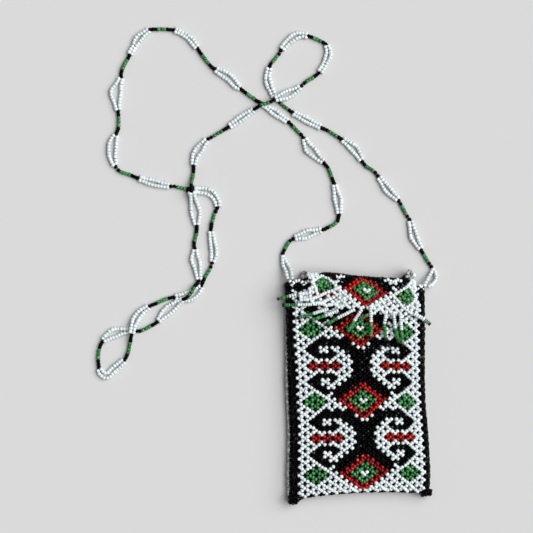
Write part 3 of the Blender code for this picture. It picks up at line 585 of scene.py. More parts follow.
# %% String the strap
def string_strap():
    """The main strand's beads by glass, the second strands' beads and the main strand's own line."""
    singles = [[picture_point(pixel) for pixel in stretch] for stretch in SINGLE_STRETCHES]
    (left_main, left_second), (right_main, right_second) = strap_ends
    route = [left_main]
    parts = []
    seconds = []
    sides = []
    for number, (main_pixels, second_pixels) in enumerate(DOUBLE_STRETCHES):
        start = singles[number - 1][-1] if number else left_main
        end = singles[number][0] if number < len(singles) else right_main
        main = [picture_point(pixel) for pixel in main_pixels]
        second = [picture_point(pixel) for pixel in second_pixels]
        if 0 < number < len(singles) and not main:
            main = side_by_side(start, end, 1)
            second = side_by_side(start, end, -1)
        first = start if number else left_second
        last = end if number < len(singles) else right_second
        main_middle = sum(main, Vector((0, 0))) / max(1, len(main))
        second_middle = sum(second, Vector((0, 0))) / max(1, len(second))
        middle_gap = main_middle - second_middle
        across = Vector((-(end - start).y, (end - start).x))
        side = math.copysign(1, middle_gap.dot(across)) if 0 < number < len(singles) else 0
        sides.append(side)
        seconds.append((number, [first] + second + [last]))
        route += main
        parts.append((WHITE, number, len(main) + 1))
        if number < len(singles):
            route += singles[number]
            for glass in (BLACK, GREEN, BLACK):
                parts.append((glass, number, 1))
    route.append(right_main)
    spans = smooth_spans(route)
    groups = {WHITE: [], BLACK: [], GREEN: []}
    line = []
    used = 0
    for glass, stretch, count in parts:
        places = [place for span in spans[used:used + count] for place in span]
        used += count
        if used < len(spans):
            places.append(spans[used][0])
        points = [lifted(place, stretch) for place in places]
        line += points[:-1]
        strand = spread_pair(points, sides[stretch]) if glass == WHITE else points
        groups[glass] += strung(strand, STRAP_TOP_TONE if stretch or glass != WHITE else SHADED_TOP_TONE)
    line.append(points[-1])
    twins = []
    for number, places in seconds:
        close = [place for span in smooth_spans(places) for place in span]
        points = [lifted(place, min(number, len(singles) - 1)) for place in close]
        twins += strung(spread_pair(points, -sides[number]), STRAP_TOP_TONE if number else SHADED_TOP_TONE)
    return groups, {WHITE: twins}, line


strap_groups, twin_groups, strap_line = string_strap()
neck_strap = bead_piece("neck_strap_beads", strap_groups)
strap_twins = bead_piece("neck_strap_second_strands", twin_groups)
for piece in (neck_strap, strap_twins):
    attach(piece, "pouch")
    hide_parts("neck_strap")

# %% [markdown]
# ## The stitch
# The net has a bead at every knot, where the thread runs across, and one bead on each slanting side between
# two knots. Columns are counted from the middle and rows from the lowest diamond, in half cells: a knot is
# where column and row add up to an even number, and a side bead sits half a step off in both. The pattern
# is a rule of column and row, which repeats every eighteen rows and is the same left and right.

# %% The colour rule
PATTERN_ROWS = 18
SIDE_COLUMN = 12
WHITE_EDGE_COLUMN = 10
GREEN_COLUMN = 9
DIAMOND_CENTRE = 0.55
SEAM_ROW = -5.25
DIAMOND_RINGS = ((0.8, WHITE), (2.9, GREEN), (4.6, RED))
RED_CROSS_COLUMNS = (5, 7, 9)
# Knots and lone side beads in white, as (columns from the middle, rows from the centre), round each diamond
NEAR_DIAMOND_KNOTS = {
    (9, 3), (9, -3), (8, 2), (8, -2), (7, 1), (7, -1), (6, 0), (6, 2), (6, -2), (5, -1), (4, -2),
}
NEAR_DIAMOND_SIDES = {(5.5, 0.5), (0.5, -4.5), (1.5, -3.5), (3.5, -1.5), (4.5, -0.5)}
# The same for the hooks and small crosses, counted from the row of the red crosses
HOOK_KNOTS = {
    (9, 2), (9, -2), (8, 1), (8, -1), (6, 1), (6, -1), (5, 2), (5, -2), (4, 1), (4, -1), (3, 0),
    (2, 1), (2, -1), (3, 2), (3, -2), (4, 3), (4, -3), (5, 4), (5, -4), (6, -5), (7, 4), (7, -4),
}
HOOK_SIDES = {
    (7.5, 1.5), (6.5, 1.5), (7.5, -1.5), (6.5, -1.5), (6.5, 3.5), (7.5, 3.5), (6.5, 4.5), (7.5, 4.5),
    (6.5, -3.5), (7.5, -3.5), (6.5, -4.5), (7.5, -4.5), (5.5, -5.5), (6.5, -5.5), (4.5, -4.5), (3.5, -3.5),
    (2.5, -2.5), (2.5, 2.5), (3.5, 3.5), (4.5, 4.5), (5.5, 4.5),
}


def white_knot(across, row):
    """Whether the knot this many columns from the middle is white."""
    near = (row + PATTERN_ROWS / 2) % PATTERN_ROWS - PATTERN_ROWS / 2
    hook = row % PATTERN_ROWS - PATTERN_ROWS / 2
    return (WHITE_EDGE_COLUMN <= across <= SIDE_COLUMN or (across, near) in NEAR_DIAMOND_KNOTS
            or (across, hook) in HOOK_KNOTS)


def net_glass(column, row, plain_below=-0.25, plain_above=46.2):
    """The glass of the bead at a column and row: white below the lowest diamond, black above the last row."""
    across = abs(column)
    near = (row + PATTERN_ROWS / 2) % PATTERN_ROWS - PATTERN_ROWS / 2
    hook = row % PATTERN_ROWS - PATTERN_ROWS / 2
    if across > SIDE_COLUMN or row > plain_above or row < SEAM_ROW:
        return BLACK
    distance = across + abs(near - DIAMOND_CENTRE)
    for limit, glass in DIAMOND_RINGS:
        if distance < limit:
            return glass
    if abs(across - GREEN_COLUMN) + abs(near) <= 2:
        return GREEN
    if abs(hook) <= 0.5 and min(abs(across - cross) for cross in RED_CROSS_COLUMNS) <= 0.5:
        return RED
    if row < plain_below:
        return WHITE
    if across == int(across):
        return WHITE if white_knot(across, row) else BLACK
    if (across, near) in NEAR_DIAMOND_SIDES or (across, hook) in HOOK_SIDES:
        return WHITE
    for slant in (1, -1):
        ends = ((across - 0.5, row - 0.5 * slant), (across + 0.5, row + 0.5 * slant))
        if (ends[0][0] + ends[0][1]) % 2 == 0 and all(white_knot(*end) for end in ends):
            return WHITE
    return BLACK


def stitches(first_column, last_column, first_row, last_row):
    """Every bead of a net between these columns and rows: knots, then side beads with their slant."""
    found = []
    for row in range(first_row, last_row + 1):
        for column in range(first_column, last_column + 1):
            if (column + row) % 2 == 0:
                found.append((column, row, 0))
            if column < last_column and row < last_row:
                slant = 1 if (column + row) % 2 == 0 else -1
                found.append((column + 0.5, row + 0.5, slant))
    return found


# %% [markdown]
# ## Lay the net
# Handwork is never even: the columns wander and the rows close up. A few guide places, one line of them for
# every half pattern, carry the net, and the same Catmull-Rom rule fills in between.

# %% Guide places of the body's net, in picture pixels
GUIDE_COLUMNS = (-12, -9, -5, 0, 5, 9, 12)
BODY_GUIDE = {
    -5: (
        (299.4, 496.9), (315.9, 494.0), (336.6, 492.0), (361.9, 490.3),
        (387.4, 489.9), (407.2, 490.3), (422.0, 490.9),
    ),
    -3: (
        (299.0, 487.9), (315.8, 487.0), (337.3, 486.0), (363.5, 485.1),
        (388.3, 483.9), (409.1, 483.7), (423.4, 483.4),
    ),
    0: (
        (298.7, 474.8), (316.2, 475.1), (338.7, 474.1), (364.3, 473.6),
        (389.4, 471.9), (409.5, 472.5), (423.6, 471.1),
    ),
    9: (
        (299.5, 438.1), (316.0, 438.0), (337.9, 437.8), (365.2, 436.9),
        (389.9, 436.7), (409.4, 436.5), (421.8, 436.0),
    ),
    18: (
        (298.0, 402.0), (314.7, 401.7), (336.9, 401.1), (363.0, 401.3),
        (386.8, 400.4), (406.2, 401.4), (419.0, 401.6),
    ),
    27: (
        (296.6, 365.8), (313.0, 365.9), (335.5, 365.6), (361.4, 365.6),
        (385.0, 365.4), (405.9, 366.3), (418.1, 366.4),
    ),
    36: (
        (294.3, 329.4), (310.4, 329.2), (333.7, 329.1), (359.7, 329.1),
        (383.9, 330.4), (403.9, 331.7), (417.8, 332.5),
    ),
    46: (
        (292.5, 290.7), (310.3, 290.8), (333.0, 290.6), (358.2, 290.4),
        (382.4, 291.8), (402.9, 293.4), (417.1, 294.4),
    ),
    48: (
        (291.7, 283.6), (309.8, 283.6), (332.8, 283.6), (358.0, 283.8),
        (382.2, 285.0), (402.6, 286.6), (416.8, 287.8),
    ),
}


def hermite(keys, values, at):
    """A smooth line through values at uneven keys, straight beyond both ends."""
    last = len(keys) - 1
    span = max(0, min(last - 1, sum(1 for key in keys if key <= at) - 1))

    def slope(index):
        low = max(0, index - 1)
        high = min(last, index + 1)
        return (values[high] - values[low]) / (keys[high] - keys[low])

    gap = keys[span + 1] - keys[span]
    t = (at - keys[span]) / gap
    if t < 0:
        return values[0] + slope(0) * (at - keys[0])
    if t > 1:
        return values[last] + slope(last) * (at - keys[last])
    return ((2 * t ** 3 - 3 * t ** 2 + 1) * values[span] + (t ** 3 - 2 * t ** 2 + t) * gap * slope(span)
            + (3 * t ** 2 - 2 * t ** 3) * values[span + 1] + (t ** 3 - t ** 2) * gap * slope(span + 1))


def guided(guide, columns, column, row):
    """The place of a column and row between the guide places."""
    rows = sorted(guide)
    lines = [hermite(columns, [picture_point(pixel) for pixel in guide[key]], column) for key in rows]
    return hermite(rows, lines, row)


# %% [markdown]
# The net is a flat tube that turns over at its sides in soft folds. Past the white tips of the front come
# three black columns, which roll down the side, and then the tips of the back. Low down on the left the
# back's tips reach out past the fold and show from above. Each fold is a short list of how far out and how
# high the next columns lie.

# %% Wrap the net round the pouch
BACK_COLUMN = SIDE_COLUMN + 4
SIDE_PITCH = 2.0 * MM
NET_LENGTH_SHARES = {WHITE: 1.4, SMOKE: 1.2, BLACK: 1.3, RED: 1.15, GREEN: 1.15}
# For these columns: how far outside the tips each one lies, in picture pixels, low down and near the mouth,
# and how high they lie, in mm
FOLD_KEYS = (12, 13, 14, 15, 15.5, 16, 17, 19)
LEFT_FOLD_LOW = (0.0, 2.7, 4.5, 5.2, 5.7, 10.4, 10.3, 5.0)
LEFT_FOLD_HIGH = (0.0, 2.7, 4.6, 5.8, 6.0, 5.8, 4.6, 0.0)
LEFT_HEIGHTS = (9.2, 8.7, 7.5, 6.0, 5.2, 3.6, 2.2, 1.2)
RIGHT_FOLD_LOW = (0.0, 2.9, 4.6, 5.1, 5.0, 3.9, 1.0, -6.0)
RIGHT_FOLD_HIGH = (0.0, 3.2, 5.4, 6.2, 6.0, 5.0, 2.4, -5.0)
RIGHT_HEIGHTS = (9.2, 8.2, 6.3, 4.5, 3.6, 2.6, 1.5, 1.2)
LOW_FOLD_ROW = 24
HIGH_FOLD_ROW = 44
PLAIN_BACK_COLUMN = 9
BOTTOM_ROW = -5
BOTTOM_STEP = 0.3
BOTTOM_LEVEL = 5.4 * MM
SEAM_START = 1.5
SEAM_REACH = 2.5
EDGE_COLUMNS = 3
WAVE_HEIGHT = 0.25 * MM
WAVE_TURNS = ((140, 60), (-210, 95))


def fold_offset(column, row):
    """How far out and how high a column of the side fold lies at a row."""
    left = column < 0
    low, high = (LEFT_FOLD_LOW, LEFT_FOLD_HIGH) if left else (RIGHT_FOLD_LOW, RIGHT_FOLD_HIGH)
    share = max(0.0, min(1.0, (row - LOW_FOLD_ROW) / (HIGH_FOLD_ROW - LOW_FOLD_ROW)))
    outs = [a + (b - a) * share for a, b in zip(low, high)]
    out = hermite(FOLD_KEYS, outs, abs(column)) * PIXEL
    height = hermite(FOLD_KEYS, LEFT_HEIGHTS if left else RIGHT_HEIGHTS, abs(column)) * MM
    return -out if left else out, height


def wave(place):
    """The slight rise and fall of a filled hand-made net."""
    return WAVE_HEIGHT * sum(math.sin(along * place.x + up * place.y) for along, up in WAVE_TURNS)


def lowered(z, row):
    """The height of a row near the bottom, where front and back come together in a black seam."""
    share = min(1.0, max(0.0, (BOTTOM_ROW + SEAM_START - row) / SEAM_REACH))
    return z + (BOTTOM_LEVEL - z) * share ** 2


def flattened(row):
    """Rows past the bottom lie under the last one, not beyond it."""
    return row if row >= BOTTOM_ROW else BOTTOM_ROW - BOTTOM_STEP * (BOTTOM_ROW - row)


def front_place(column, row):
    """Place of a bead of the front panel."""
    flat = guided(BODY_GUIDE, GUIDE_COLUMNS, column, flattened(row))
    edge = max(0.0, 1 - (SIDE_COLUMN - abs(column)) / EDGE_COLUMNS)
    z = FRONT_LEVEL + wave(flat) * (1 - edge)
    return Vector((flat.x, flat.y, lowered(z, row)))


def side_place(column, row):
    """Place of a bead of a side fold, past the front's tips."""
    tip = math.copysign(SIDE_COLUMN, column)
    flat = guided(BODY_GUIDE, GUIDE_COLUMNS, tip, flattened(row))
    out, z = fold_offset(column, row)
    return Vector((flat.x + out, flat.y, lowered(z, row)))


def back_place(column, row):
    """Place of a bead of the back panel: rolled under at both sides, and plain between."""
    held_row = min(row, MOUTH_ROW)
    rolled = side_place(math.copysign(BACK_COLUMN + SIDE_COLUMN - abs(column), column), held_row)
    if abs(column) > PLAIN_BACK_COLUMN and row <= MOUTH_ROW:
        return rolled
    left = side_place(-FOLD_KEYS[-1], held_row)
    right = side_place(FOLD_KEYS[-1], held_row)
    share = (column + PLAIN_BACK_COLUMN) / (2 * PLAIN_BACK_COLUMN)
    flat = guided(BODY_GUIDE, GUIDE_COLUMNS, column, flattened(row))
    x = rolled.x if abs(column) > PLAIN_BACK_COLUMN else left.x + share * (right.x - left.x)
    if row > MOUTH_ROW:
        narrow = min(1.0, (row - MOUTH_ROW) / (BACK_TOP_ROW - MOUTH_ROW))
        fold_left, fold_right = (picture_point((px, 0)).x for px in BACK_TOP_ENDS)
        across = (column + SIDE_COLUMN) / (2 * SIDE_COLUMN)
        x += (fold_left + across * (fold_right - fold_left) - x) * narrow
    return Vector((x, flat.y, lowered(BACK_LEVEL, row)))


def side_spots(column, row, slant, place_of):
    """Places along a slanting side: one bead, or more where the net is drawn out."""
    first = place_of(column - 0.5, row - 0.5 * slant)
    last = place_of(column + 0.5, row + 0.5 * slant)
    count = max(1, round((last - first).length / SIDE_PITCH) - 1)
    return [(first.lerp(last, (number + 1) / (count + 1)), last - first) for number in range(count)]


def net_beads(cells, place_of, glass_of):
    """Beads by glass for these stitches."""
    groups = {glass: [] for glass in (WHITE, SMOKE, BLACK, RED, GREEN)}
    for column, row, slant in cells:
        if slant:
            spots = side_spots(column, row, slant, place_of)
        else:
            spots = [(place_of(column, row), place_of(column + 0.4, row) - place_of(column - 0.4, row))]
        for place, axis in spots:
            glass = glass_of(column, row)
            groups[glass].append(bead(place, axis, length=NET_LENGTH_SHARES[glass]))
    return {glass: beads for glass, beads in groups.items() if beads}


# %% [markdown]
# The front shows the pattern, the sides are black, and the back carries the same pattern as the front.

# %% Net the front, the sides and the back
MOUTH_ROW = 48
BACK_TOP_ROW = 50
BACK_TOP_ENDS = (303.0, 409.0)
LOW_ROW = -6


def dress(piece, body, slot_name, *nodes):
    """Lets a piece ride on a body and stand for its CAD nodes, which it hides; slot_name is not used."""
    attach(piece, body)
    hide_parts(*nodes)


def slot_of(glass):
    """The CAD finish that a glass belongs to; red, and the grey glass that paints shade on white beads, have
    none of their own.
    """
    return f"{WHITE if glass in (RED, SMOKE) else glass}_beads"


front_groups = net_beads(stitches(-SIDE_COLUMN, SIDE_COLUMN, LOW_ROW, MOUTH_ROW), front_place, net_glass)
for glass, beads in front_groups.items():
    front_piece = bead_piece(f"front_net_{glass}_beads", {glass: beads})
    dress(front_piece, "pouch", slot_of(glass), "front_net", "bottom_net")

for side, side_name in ((-1, "left"), (1, "right")):
    cells = []
    for column, row, slant in stitches(SIDE_COLUMN, BACK_COLUMN, LOW_ROW, MOUTH_ROW):
        if SIDE_COLUMN < column < BACK_COLUMN:
            cells.append((column * side, row, slant * side))
    side_groups = net_beads(cells, side_place, lambda column, row: BLACK)
    side_piece = bead_piece(f"{side_name}_side_net_beads", side_groups)
    dress(side_piece, "pouch", "black_beads", f"{side_name}_side_net")


def back_glass(column, row):
    """The same pattern; the tips that peek out under the left fold get grey glass, painted shade for the
    shadow they lie in.
    """
    # painted shade: the tips under the left fold are drawn grey
    if column < -SIDE_COLUMN + 2:
        return SMOKE
    return net_glass(column, row, plain_above=BACK_TOP_ROW + 1)


back_cells = [cell for cell in stitches(-SIDE_COLUMN, SIDE_COLUMN, LOW_ROW, BACK_TOP_ROW)
              if cell[1] > LOW_ROW]
for glass, beads in net_beads(back_cells, back_place, back_glass).items():
    dress(bead_piece(f"back_net_{glass}_beads", {glass: beads}), "pouch", slot_of(glass), "back_net")

# %% [markdown]
# ## Mouth edging
# White beads run along the front's upper edge in a zigzag: down to every second knot of the last row, up
# over the gap between two knots and down again. Maker's name: picot.

# %% String the picot edging
PICOT_HEIGHT = 4.2 * PIXEL
PICOT_PITCH = 1.95 * MM
PICOT_ROUNDNESS = 0.8
PICOT_DROP = 1.2 * PIXEL
PICOT_END_DROP = 0.7 * PIXEL

picot_line = []
for step in range(-4 * SIDE_COLUMN - 4, 4 * SIDE_COLUMN + 9):
    column = step / 4
    rise = abs(math.sin(math.pi * column / 2)) ** PICOT_ROUNDNESS * PICOT_HEIGHT
    inner = max(-SIDE_COLUMN, min(SIDE_COLUMN, column))
    place = front_place(inner, MOUTH_ROW)
    over = abs(column) - SIDE_COLUMN
    if over > 0:
        out, z = fold_offset(math.copysign(SIDE_COLUMN + over, column), MOUTH_ROW)
        place = Vector((place.x + out, place.y - PICOT_END_DROP * over, z))
    picot_line.append(place + Vector((0, rise - PICOT_DROP, 0)))
picot_beads = {WHITE: [bead(place, along) for place, along in walk(picot_line, pitch=PICOT_PITCH)]}
dress(bead_piece("mouth_edging_beads", picot_beads), "pouch", "white_beads", "mouth_edging")

# %% [markdown]
# ## Corner tufts
# At both lower corners the net's last rows are drawn together, so that their black beads crowd into a knob.

# %% Crowd the corner beads
TUFTS = (
    ("left_corner_tuft", (288.6, 497.0), (299.5, 497.6), 3, 5.2),
    ("right_corner_tuft", (421.5, 492.6), (431.8, 490.9), 2, 4.9),
)
TUFT_PITCH = 2.75
TUFT_ROW_PITCH = 2.6
TUFT_LEVELS = (-3.0, -1.0, 1.0, 3.0)
TUFT_OVERHANG = 0.8
TUFT_SPREAD = 0.35
for name, left_end, right_end, tuft_rows, middle_mm in TUFTS:
    beads = []
    for level in TUFT_LEVELS:
        for row in range(tuft_rows):
            reach = 0.0 if abs(level) < 2 else TUFT_OVERHANG
            span = right_end[0] - left_end[0] - 2 * reach
            count = max(2, round(span / TUFT_PITCH)) + 1 - row % 2
            for number in range(count):
                share = (number + 0.5) / count
                x = left_end[0] + reach + span * share + chance.gauss(0, TUFT_SPREAD)
                slope = (right_end[1] - left_end[1]) * share
                y = left_end[1] + slope + row * TUFT_ROW_PITCH + chance.gauss(0, TUFT_SPREAD)
                if name == "left_corner_tuft" and row == 2 and share > 0.7:
                    continue
                flat = picture_point((x, y))
                axis = (chance.gauss(0, 1), chance.gauss(0, 1), chance.gauss(0, 0.4))
                beads.append(bead((flat.x, flat.y, (middle_mm + level) * MM), axis))
    dress(bead_piece(f"{name}_beads", {BLACK: beads}), "pouch", "black_beads", name)

# %% [markdown]
# ## Flap
# The flap is the same net, going on from the back over the top. It hangs loose, so it has guide places of
# its own.

# %% Guide places of the flap's net
FLAP_COLUMNS = (-12, -9, -5, 0, 5, 9, 12)
FLAP_GUIDE = {
    -5: (
        (294.8, 297.6), (313.0, 303.2), (338.0, 306.8), (364.5, 308.3),
        (383.0, 312.0), (402.0, 315.5), (417.5, 313.0),
    ),
    -4: (
        (299.8, 293.6), (316.0, 301.0), (340.2, 304.4), (365.5, 305.0),
        (383.7, 308.8), (403.0, 311.9), (418.6, 310.0),
    ),
    -2: (
        (309.5, 288.6), (320.0, 291.6), (341.9, 295.9), (366.2, 298.4),
        (385.6, 302.0), (404.8, 304.8), (418.6, 305.0),
    ),
    0: (
        (311.5, 281.8), (323.0, 284.6), (342.3, 289.0), (366.7, 291.2),
        (387.8, 294.5), (406.4, 297.0), (415.5, 297.0),
    ),
    2: (
        (309.8, 277.2), (323.4, 277.2), (342.4, 281.8), (364.9, 284.8),
        (387.3, 287.6), (407.8, 288.8), (415.0, 289.2),
    ),
    4: (
        (308.6, 274.8), (322.3, 274.9), (341.0, 276.9), (362.1, 279.0),
        (387.2, 281.6), (407.0, 282.0), (414.0, 282.4),
    ),
    5: (
        (308.2, 274.4), (322.0, 274.5), (340.8, 275.9), (361.6, 277.9),
        (387.4, 279.7), (405.8, 280.0), (413.2, 279.6),
    ),
}
FLAP_LOW_ROW = -5
FLAP_TOP_ROW = 5
WING_COLUMN = -8
WING_ROW = 2
WING_LIFT = 1.5 * MM
WING_REACH = 3
FLAP_RIPPLE = 0.3 * MM
RIPPLE_ACROSS = 0.8
RIPPLE_DOWN = 0.9


def flap_place(column, row):
    """Place of a bead of the flap, which lies on the front and stands up a little along its left edge."""
    flat = guided(FLAP_GUIDE, FLAP_COLUMNS, column, row)
    lift = (min(1.0, max(0.0, (WING_COLUMN - column) / WING_REACH))
            * min(1.0, max(0.0, (WING_ROW - row) / WING_REACH)))
    ripple = FLAP_RIPPLE * math.sin(column * RIPPLE_ACROSS) * math.cos(row * RIPPLE_DOWN)
    z = FLAP_HEIGHT - FLAP_SETTLED + WING_LIFT * lift + ripple
    return Vector((flat.x, flat.y, z))


def flap_glass(column, row):
    """The pattern goes on over the flap, with its last rows closing up at the top."""
    if row >= 3 and -SIDE_COLUMN + 3.5 < column < -6.2:
        return BLACK
    return net_glass(column, row)


flap_cells = stitches(-SIDE_COLUMN, SIDE_COLUMN, FLAP_LOW_ROW, FLAP_TOP_ROW)
for glass, beads in net_beads(flap_cells, flap_place, flap_glass).items():
    dress(bead_piece(f"flap_net_{glass}_beads", {glass: beads}), "flap", slot_of(glass), "flap_net")

# %% [markdown]
# The flap's left edge is turned in under itself, so that two layers of white beads show there.

# %% Turn the left edge in
TURNED_COLUMNS = 2
TURNED_WIDTH_SHARE = 0.8
TURNED_DROP = 1.9 * MM


def turned_place(column, row):
    """Place of a bead of the turned edge, which lies half a stitch off under the flap."""
    under = -SIDE_COLUMN + (-SIDE_COLUMN - column) * TURNED_WIDTH_SHARE
    return flap_place(under, row + 0.5) - Vector((0, 0, TURNED_DROP))


turned_cells = [cell for cell in stitches(-SIDE_COLUMN - TURNED_COLUMNS, -SIDE_COLUMN, FLAP_LOW_ROW, WING_ROW)
                if cell[0] < -SIDE_COLUMN]
for glass, beads in net_beads(turned_cells, turned_place, lambda column, row: WHITE).items():
    dress(bead_piece(f"flap_turned_edge_{glass}_beads", {glass: beads}), "flap", slot_of(glass), "flap_net")

# %% [markdown]
# The turn at the top is one more stretch of the same net, in a flat half round from the flap down to the
# back. On the left it leans out a little, and at its right end it stands up in a small curl.

# %% Turn the net over the top
FOLD_TOP_ROW = 9
FOLD_BULGE = 0.3 * PIXEL
LEFT_LEAN = 0.9 * PIXEL
LEAN_COLUMN = -7
LEAN_REACH = 4
CURL_COLUMNS = (8, 9, 10, 11, 12, 13)
CURL_OUTS = (0.0, 4.0, 9.0, 8.6, 6.0, 3.0)
CURL_SWAYS = (0.0, 0.5, 2.0, 1.5, 0.0, -1.0)
HALF_FOLD = (FLAP_HEIGHT - BACK_LEVEL) / 2
SAG_COLUMN = -14
SAG_EDGE = 307.0
SAG_PITCH = 2.3
SAG_TOP = 277.0
SAG_REACH = 4.4
SAG_LEVEL = 8.5 * MM


def fold_place(column, row):
    """Place of a bead on the way from the flap down to the back, where its left end sags."""
    if column < -SIDE_COLUMN:
        way = (row - FLAP_TOP_ROW) / (FOLD_TOP_ROW - FLAP_TOP_ROW)
        flat = picture_point((SAG_EDGE + (column + SIDE_COLUMN) * SAG_PITCH, SAG_TOP - SAG_REACH * way))
        return Vector((flat.x, flat.y, SAG_LEVEL - (SAG_LEVEL - BACK_LEVEL) * way))
    flat = guided(FLAP_GUIDE, FLAP_COLUMNS, column, FLAP_TOP_ROW)
    turn = math.pi * (row - FLAP_TOP_ROW) / (FOLD_TOP_ROW - FLAP_TOP_ROW)
    lean = max(0.0, 1 - ((column - LEAN_COLUMN) / LEAN_REACH) ** 2) * LEFT_LEAN
    out = (FOLD_BULGE + lean) * math.sin(turn)
    sway = 0.0
    if column > CURL_COLUMNS[0]:
        out += max(0.0, hermite(CURL_COLUMNS, CURL_OUTS, column)) * math.sin(turn) * PIXEL
        sway = hermite(CURL_COLUMNS, CURL_SWAYS, column) * math.sin(turn) * PIXEL
    z = BACK_LEVEL + HALF_FOLD * (1 + math.cos(turn))
    return Vector((flat.x - sway, flat.y + out, z))


def fold_glass(column, row):
    """White beads at both ends, with grey and black ones painted as shade where the ends turn into shadow; a
    few red ones on the left, and black between.
    """
    # painted shade: the curl's left part and its under rows are grey
    if column > CURL_COLUMNS[1]:
        return SMOKE if column < 11.7 and row > 5.2 or row > 6.8 else WHITE
    # painted shade: the sagging left end is grey with black beads between
    if column < -SIDE_COLUMN:
        return BLACK if row in (6.5, 8.5) else SMOKE
    # painted shade: the lower rows of the left end are grey
    if column < -SIDE_COLUMN + 3.5:
        return WHITE if row < 6.8 else SMOKE
    return RED if -7 <= column <= -5.5 and 6.5 <= row <= 7.5 else BLACK


fold_cells = [cell for cell in stitches(SAG_COLUMN, SIDE_COLUMN, FLAP_TOP_ROW, FOLD_TOP_ROW)
              if cell[1] > FLAP_TOP_ROW]
for glass, beads in net_beads(fold_cells, fold_place, fold_glass).items():
    dress(bead_piece(f"flap_fold_{glass}_beads", {glass: beads}), "flap_fold", slot_of(glass), "flap_fold")

# %% [markdown]
# ## Fringe
# Twelve short strands hang from the flap's lower edge, each white, then green, with one dark bead at its
# end that keeps the rest from slipping off. Each is a body of its own, because each one swings.

# %% String the fringe
FRINGE = (
    ((297.8, 294.2), (288.3, 296.1), (279.5, 298.5)),
    ((322.0, 303.6), (297.2, 304.8), (284.5, 304.9)),
    ((328.0, 308.5), (313.0, 313.3), (299.3, 317.2)),
    ((338.0, 310.2), (324.7, 315.3), (312.0, 319.6)),
    ((354.3, 308.9), (337.3, 317.8), (326.8, 323.9)),
    ((361.3, 309.1), (353.8, 320.9), (347.3, 331.0)),
    ((375.3, 312.3), (368.0, 314.4), (359.5, 318.0)),
    ((370.2, 305.0), (370.6, 322.0), (370.3, 336.2)),
    ((386.0, 311.1), (383.8, 323.6), (385.2, 338.0)),
    ((392.9, 311.2), (394.6, 327.7), (398.1, 341.2)),
    ((399.6, 311.3), (401.0, 330.0), (402.0, 343.8)),
    ((411.5, 312.3), (423.8, 319.3), (427.8, 322.9)),
)
GREEN_LENGTH_SHARE = 0.72
GROOVE_SHARES = {WHITE: 1.0, GREEN: 0.85, DARK: 1.0}
WIDE_STRAND = 12
WIDE_STRAND_SIZE = 1.25
ROOT_GAPS = {1: 0.9 * MM, 12: 1.3 * MM}
ARCHED_STRAND = 8
ARCH_SHARES = (0.0, 0.25, 0.5, 0.75, 1.0)
ARCH_HEIGHTS = (0.9 * MM, 1.9 * MM, 1.66 * MM, 0.8 * MM, 0.46 * MM)

for number, pixels in enumerate(FRINGE, start=1):
    flats = [picture_point(pixel) for pixel in pixels]
    lengths = [(flats[1] - flats[0]).length, (flats[2] - flats[1]).length]
    direction = (flats[2] - flats[1]).normalized()
    flats.append(flats[2] + direction * BEAD_PITCH)
    spots = []
    for index, flat in enumerate(flats):
        share = min(1.0, sum(lengths[:index]) / sum(lengths))
        rise = hermite(ARCH_SHARES, ARCH_HEIGHTS, share) if number == ARCHED_STRAND else 0.0
        if number == WIDE_STRAND:
            rise = (WIDE_STRAND_SIZE - 1) * BEAD_RADIUS
        spots.append(Vector((flat.x, flat.y, FLAP_HEIGHT + rise)))
    root_gap = ROOT_GAPS.get(number, 0.0)
    for part, glass, start, end in (
        ("white", WHITE, spots[0], spots[1]),
        ("green", GREEN, spots[1], spots[2]),
        ("end", DARK, spots[2], spots[3]),
    ):
        share = GREEN_LENGTH_SHARE if glass == GREEN else 1.0
        size = WIDE_STRAND_SIZE if number == WIDE_STRAND and glass != DARK else 1.0
        gap = root_gap if start == spots[0] else 0.0
        beads = [bead(place, along, size, share * GROOVE_SHARES[glass] / size, STRING_LOOSENESS)
                 for place, along in walk([start, end], gap, BEAD_PITCH * share)]
        name = f"fringe_{number:02d}_{part}"
        dress(bead_piece(f"{name}_beads", {glass: beads}), f"fringe_{number:02d}", f"{glass}_beads", name)

# %% [markdown]
# ## Lining
# Behind the beads hangs a bag of black cotton, sewn in at the mouth. It shows as deep black in every gap.
# It is a real sheet of cloth here: a flat tube with soft folds at its sides, closed at the bottom, with a
# woven bump.

# %% Sew the lining
LINING_LEVELS = (2.75 * MM, 7.75 * MM)
LINING_STEPS = 80
LINING_ROWS = 60
LINING_LOW_ROW = -4
LINING_ROW_SPAN = MOUTH_ROW + 3
LINING_OVERHANGS = (2.0, 0.8)
LINING_COLUMN_PITCH = 2.6 * PIXEL
LINING_SQUARENESS = 16
LINING_SHUT_SHARE = 0.04
CREASE_HEIGHT = 0.12 * MM
CREASES_ACROSS = 700
CREASE_SLANT = 9
CREASES_DOWN = 31
CREASE_SHIFT = 4
WEAVE_SCALE = 900.0
WEAVE_DISTORTION = 1.2
WEAVE_BUMP_STRENGTH = 0.4
WEAVE_BUMP_DEPTH = 0.1 * MM
COTTON_ROUGHNESS = 0.9
COTTON_SHINE = 0.2
DEEP_COTTON = (0.0015, 0.0015, 0.002, 1.0)
WORN_COTTON = (0.006, 0.006, 0.007, 1.0)
COTTON_SHINE = 0.2


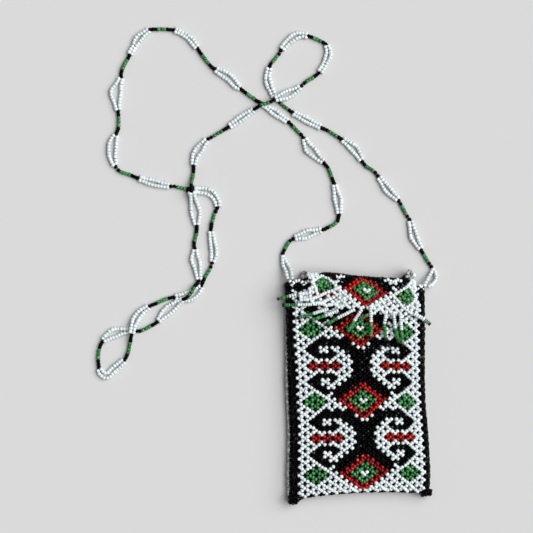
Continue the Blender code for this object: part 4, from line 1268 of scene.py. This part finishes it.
def lining_point(turn, height):
    """A place on the bag: turn goes once round it, height goes from the bottom to the mouth."""
    row = LINING_LOW_ROW + height * LINING_ROW_SPAN
    half = turn * 2 % 1
    share = half if turn < 0.5 else 1 - half
    column = -SIDE_COLUMN - LINING_OVERHANGS[0] + share * (2 * SIDE_COLUMN + sum(LINING_OVERHANGS))
    inner = max(-SIDE_COLUMN, min(SIDE_COLUMN, column))
    flat = front_place(inner, row)
    x = flat.x + (column - inner) * LINING_COLUMN_PITCH
    round_off = math.sqrt(max(0.0, 1 - (2 * abs(share - 0.5)) ** LINING_SQUARENESS))
    shut = min(1.0, height / LINING_SHUT_SHARE)
    half_depth = (LINING_LEVELS[1] - LINING_LEVELS[0]) / 2 * round_off * math.sqrt(shut * (2 - shut))
    slanting = math.sin(CREASES_ACROSS * x + CREASE_SLANT * height)
    crease = CREASE_HEIGHT * slanting * math.sin(CREASES_DOWN * height + CREASE_SHIFT * share)
    z = sum(LINING_LEVELS) / 2 + (half_depth if turn < 0.5 else -half_depth) + crease
    return (x, flat.y, z)


lining_points = []
for ring in range(LINING_ROWS + 1):
    for step in range(LINING_STEPS):
        lining_points.append(lining_point(step / LINING_STEPS, ring / LINING_ROWS))
lining_faces = []
for ring in range(LINING_ROWS):
    for step in range(LINING_STEPS):
        after = (step + 1) % LINING_STEPS
        low, high = ring * LINING_STEPS, (ring + 1) * LINING_STEPS
        lining_faces.append((low + step, low + after, high + after, high + step))
lining_mesh = bpy.data.meshes.new("lining_bag")
lining_mesh.from_pydata(lining_points, [], lining_faces)
for polygon in lining_mesh.polygons:
    polygon.use_smooth = True
lining_bag = bpy.data.objects.new("lining_bag", lining_mesh)
bpy.context.scene.collection.objects.link(lining_bag)
middle_ring = [Vector(lining_point(step / LINING_STEPS, 0.5)) for step in range(LINING_STEPS)]

cotton = bpy.data.materials.new("black_cotton")
cotton.use_nodes = True
weave = cotton.node_tree
cotton_shader = weave.nodes["Principled BSDF"]
cotton_place = add_node(weave, "ShaderNodeTexCoord")
weave_values = {"Scale": WEAVE_SCALE, "Distortion": WEAVE_DISTORTION}
warp = add_node(weave, "ShaderNodeTexWave", weave_values)
weft = add_node(weave, "ShaderNodeTexWave", weave_values, bands_direction="Y")
crossing = add_node(weave, "ShaderNodeMath", operation="MULTIPLY")
cotton_colour = add_node(weave, "ShaderNodeMix", {6: DEEP_COTTON, 7: WORN_COTTON}, data_type="RGBA")
bump_values = {"Strength": WEAVE_BUMP_STRENGTH, "Distance": WEAVE_BUMP_DEPTH}
cotton_bump = add_node(weave, "ShaderNodeBump", bump_values)
join_nodes(weave, (
    (cotton_place, "Object", warp, "Vector"),
    (cotton_place, "Object", weft, "Vector"),
    (warp, "Fac", crossing, 0),
    (weft, "Fac", crossing, 1),
    (crossing, 0, cotton_colour, "Factor"),
    (cotton_colour, 2, cotton_shader, "Base Color"),
    (crossing, 0, cotton_bump, "Height"),
    (cotton_bump, "Normal", cotton_shader, "Normal"),
))
cotton_shader.inputs["Roughness"].default_value = COTTON_ROUGHNESS
cotton_shader.inputs["Specular IOR Level"].default_value = COTTON_SHINE
lining_mesh.materials.append(cotton)
dress(lining_bag, "pouch", "lining_cloth", "lining")
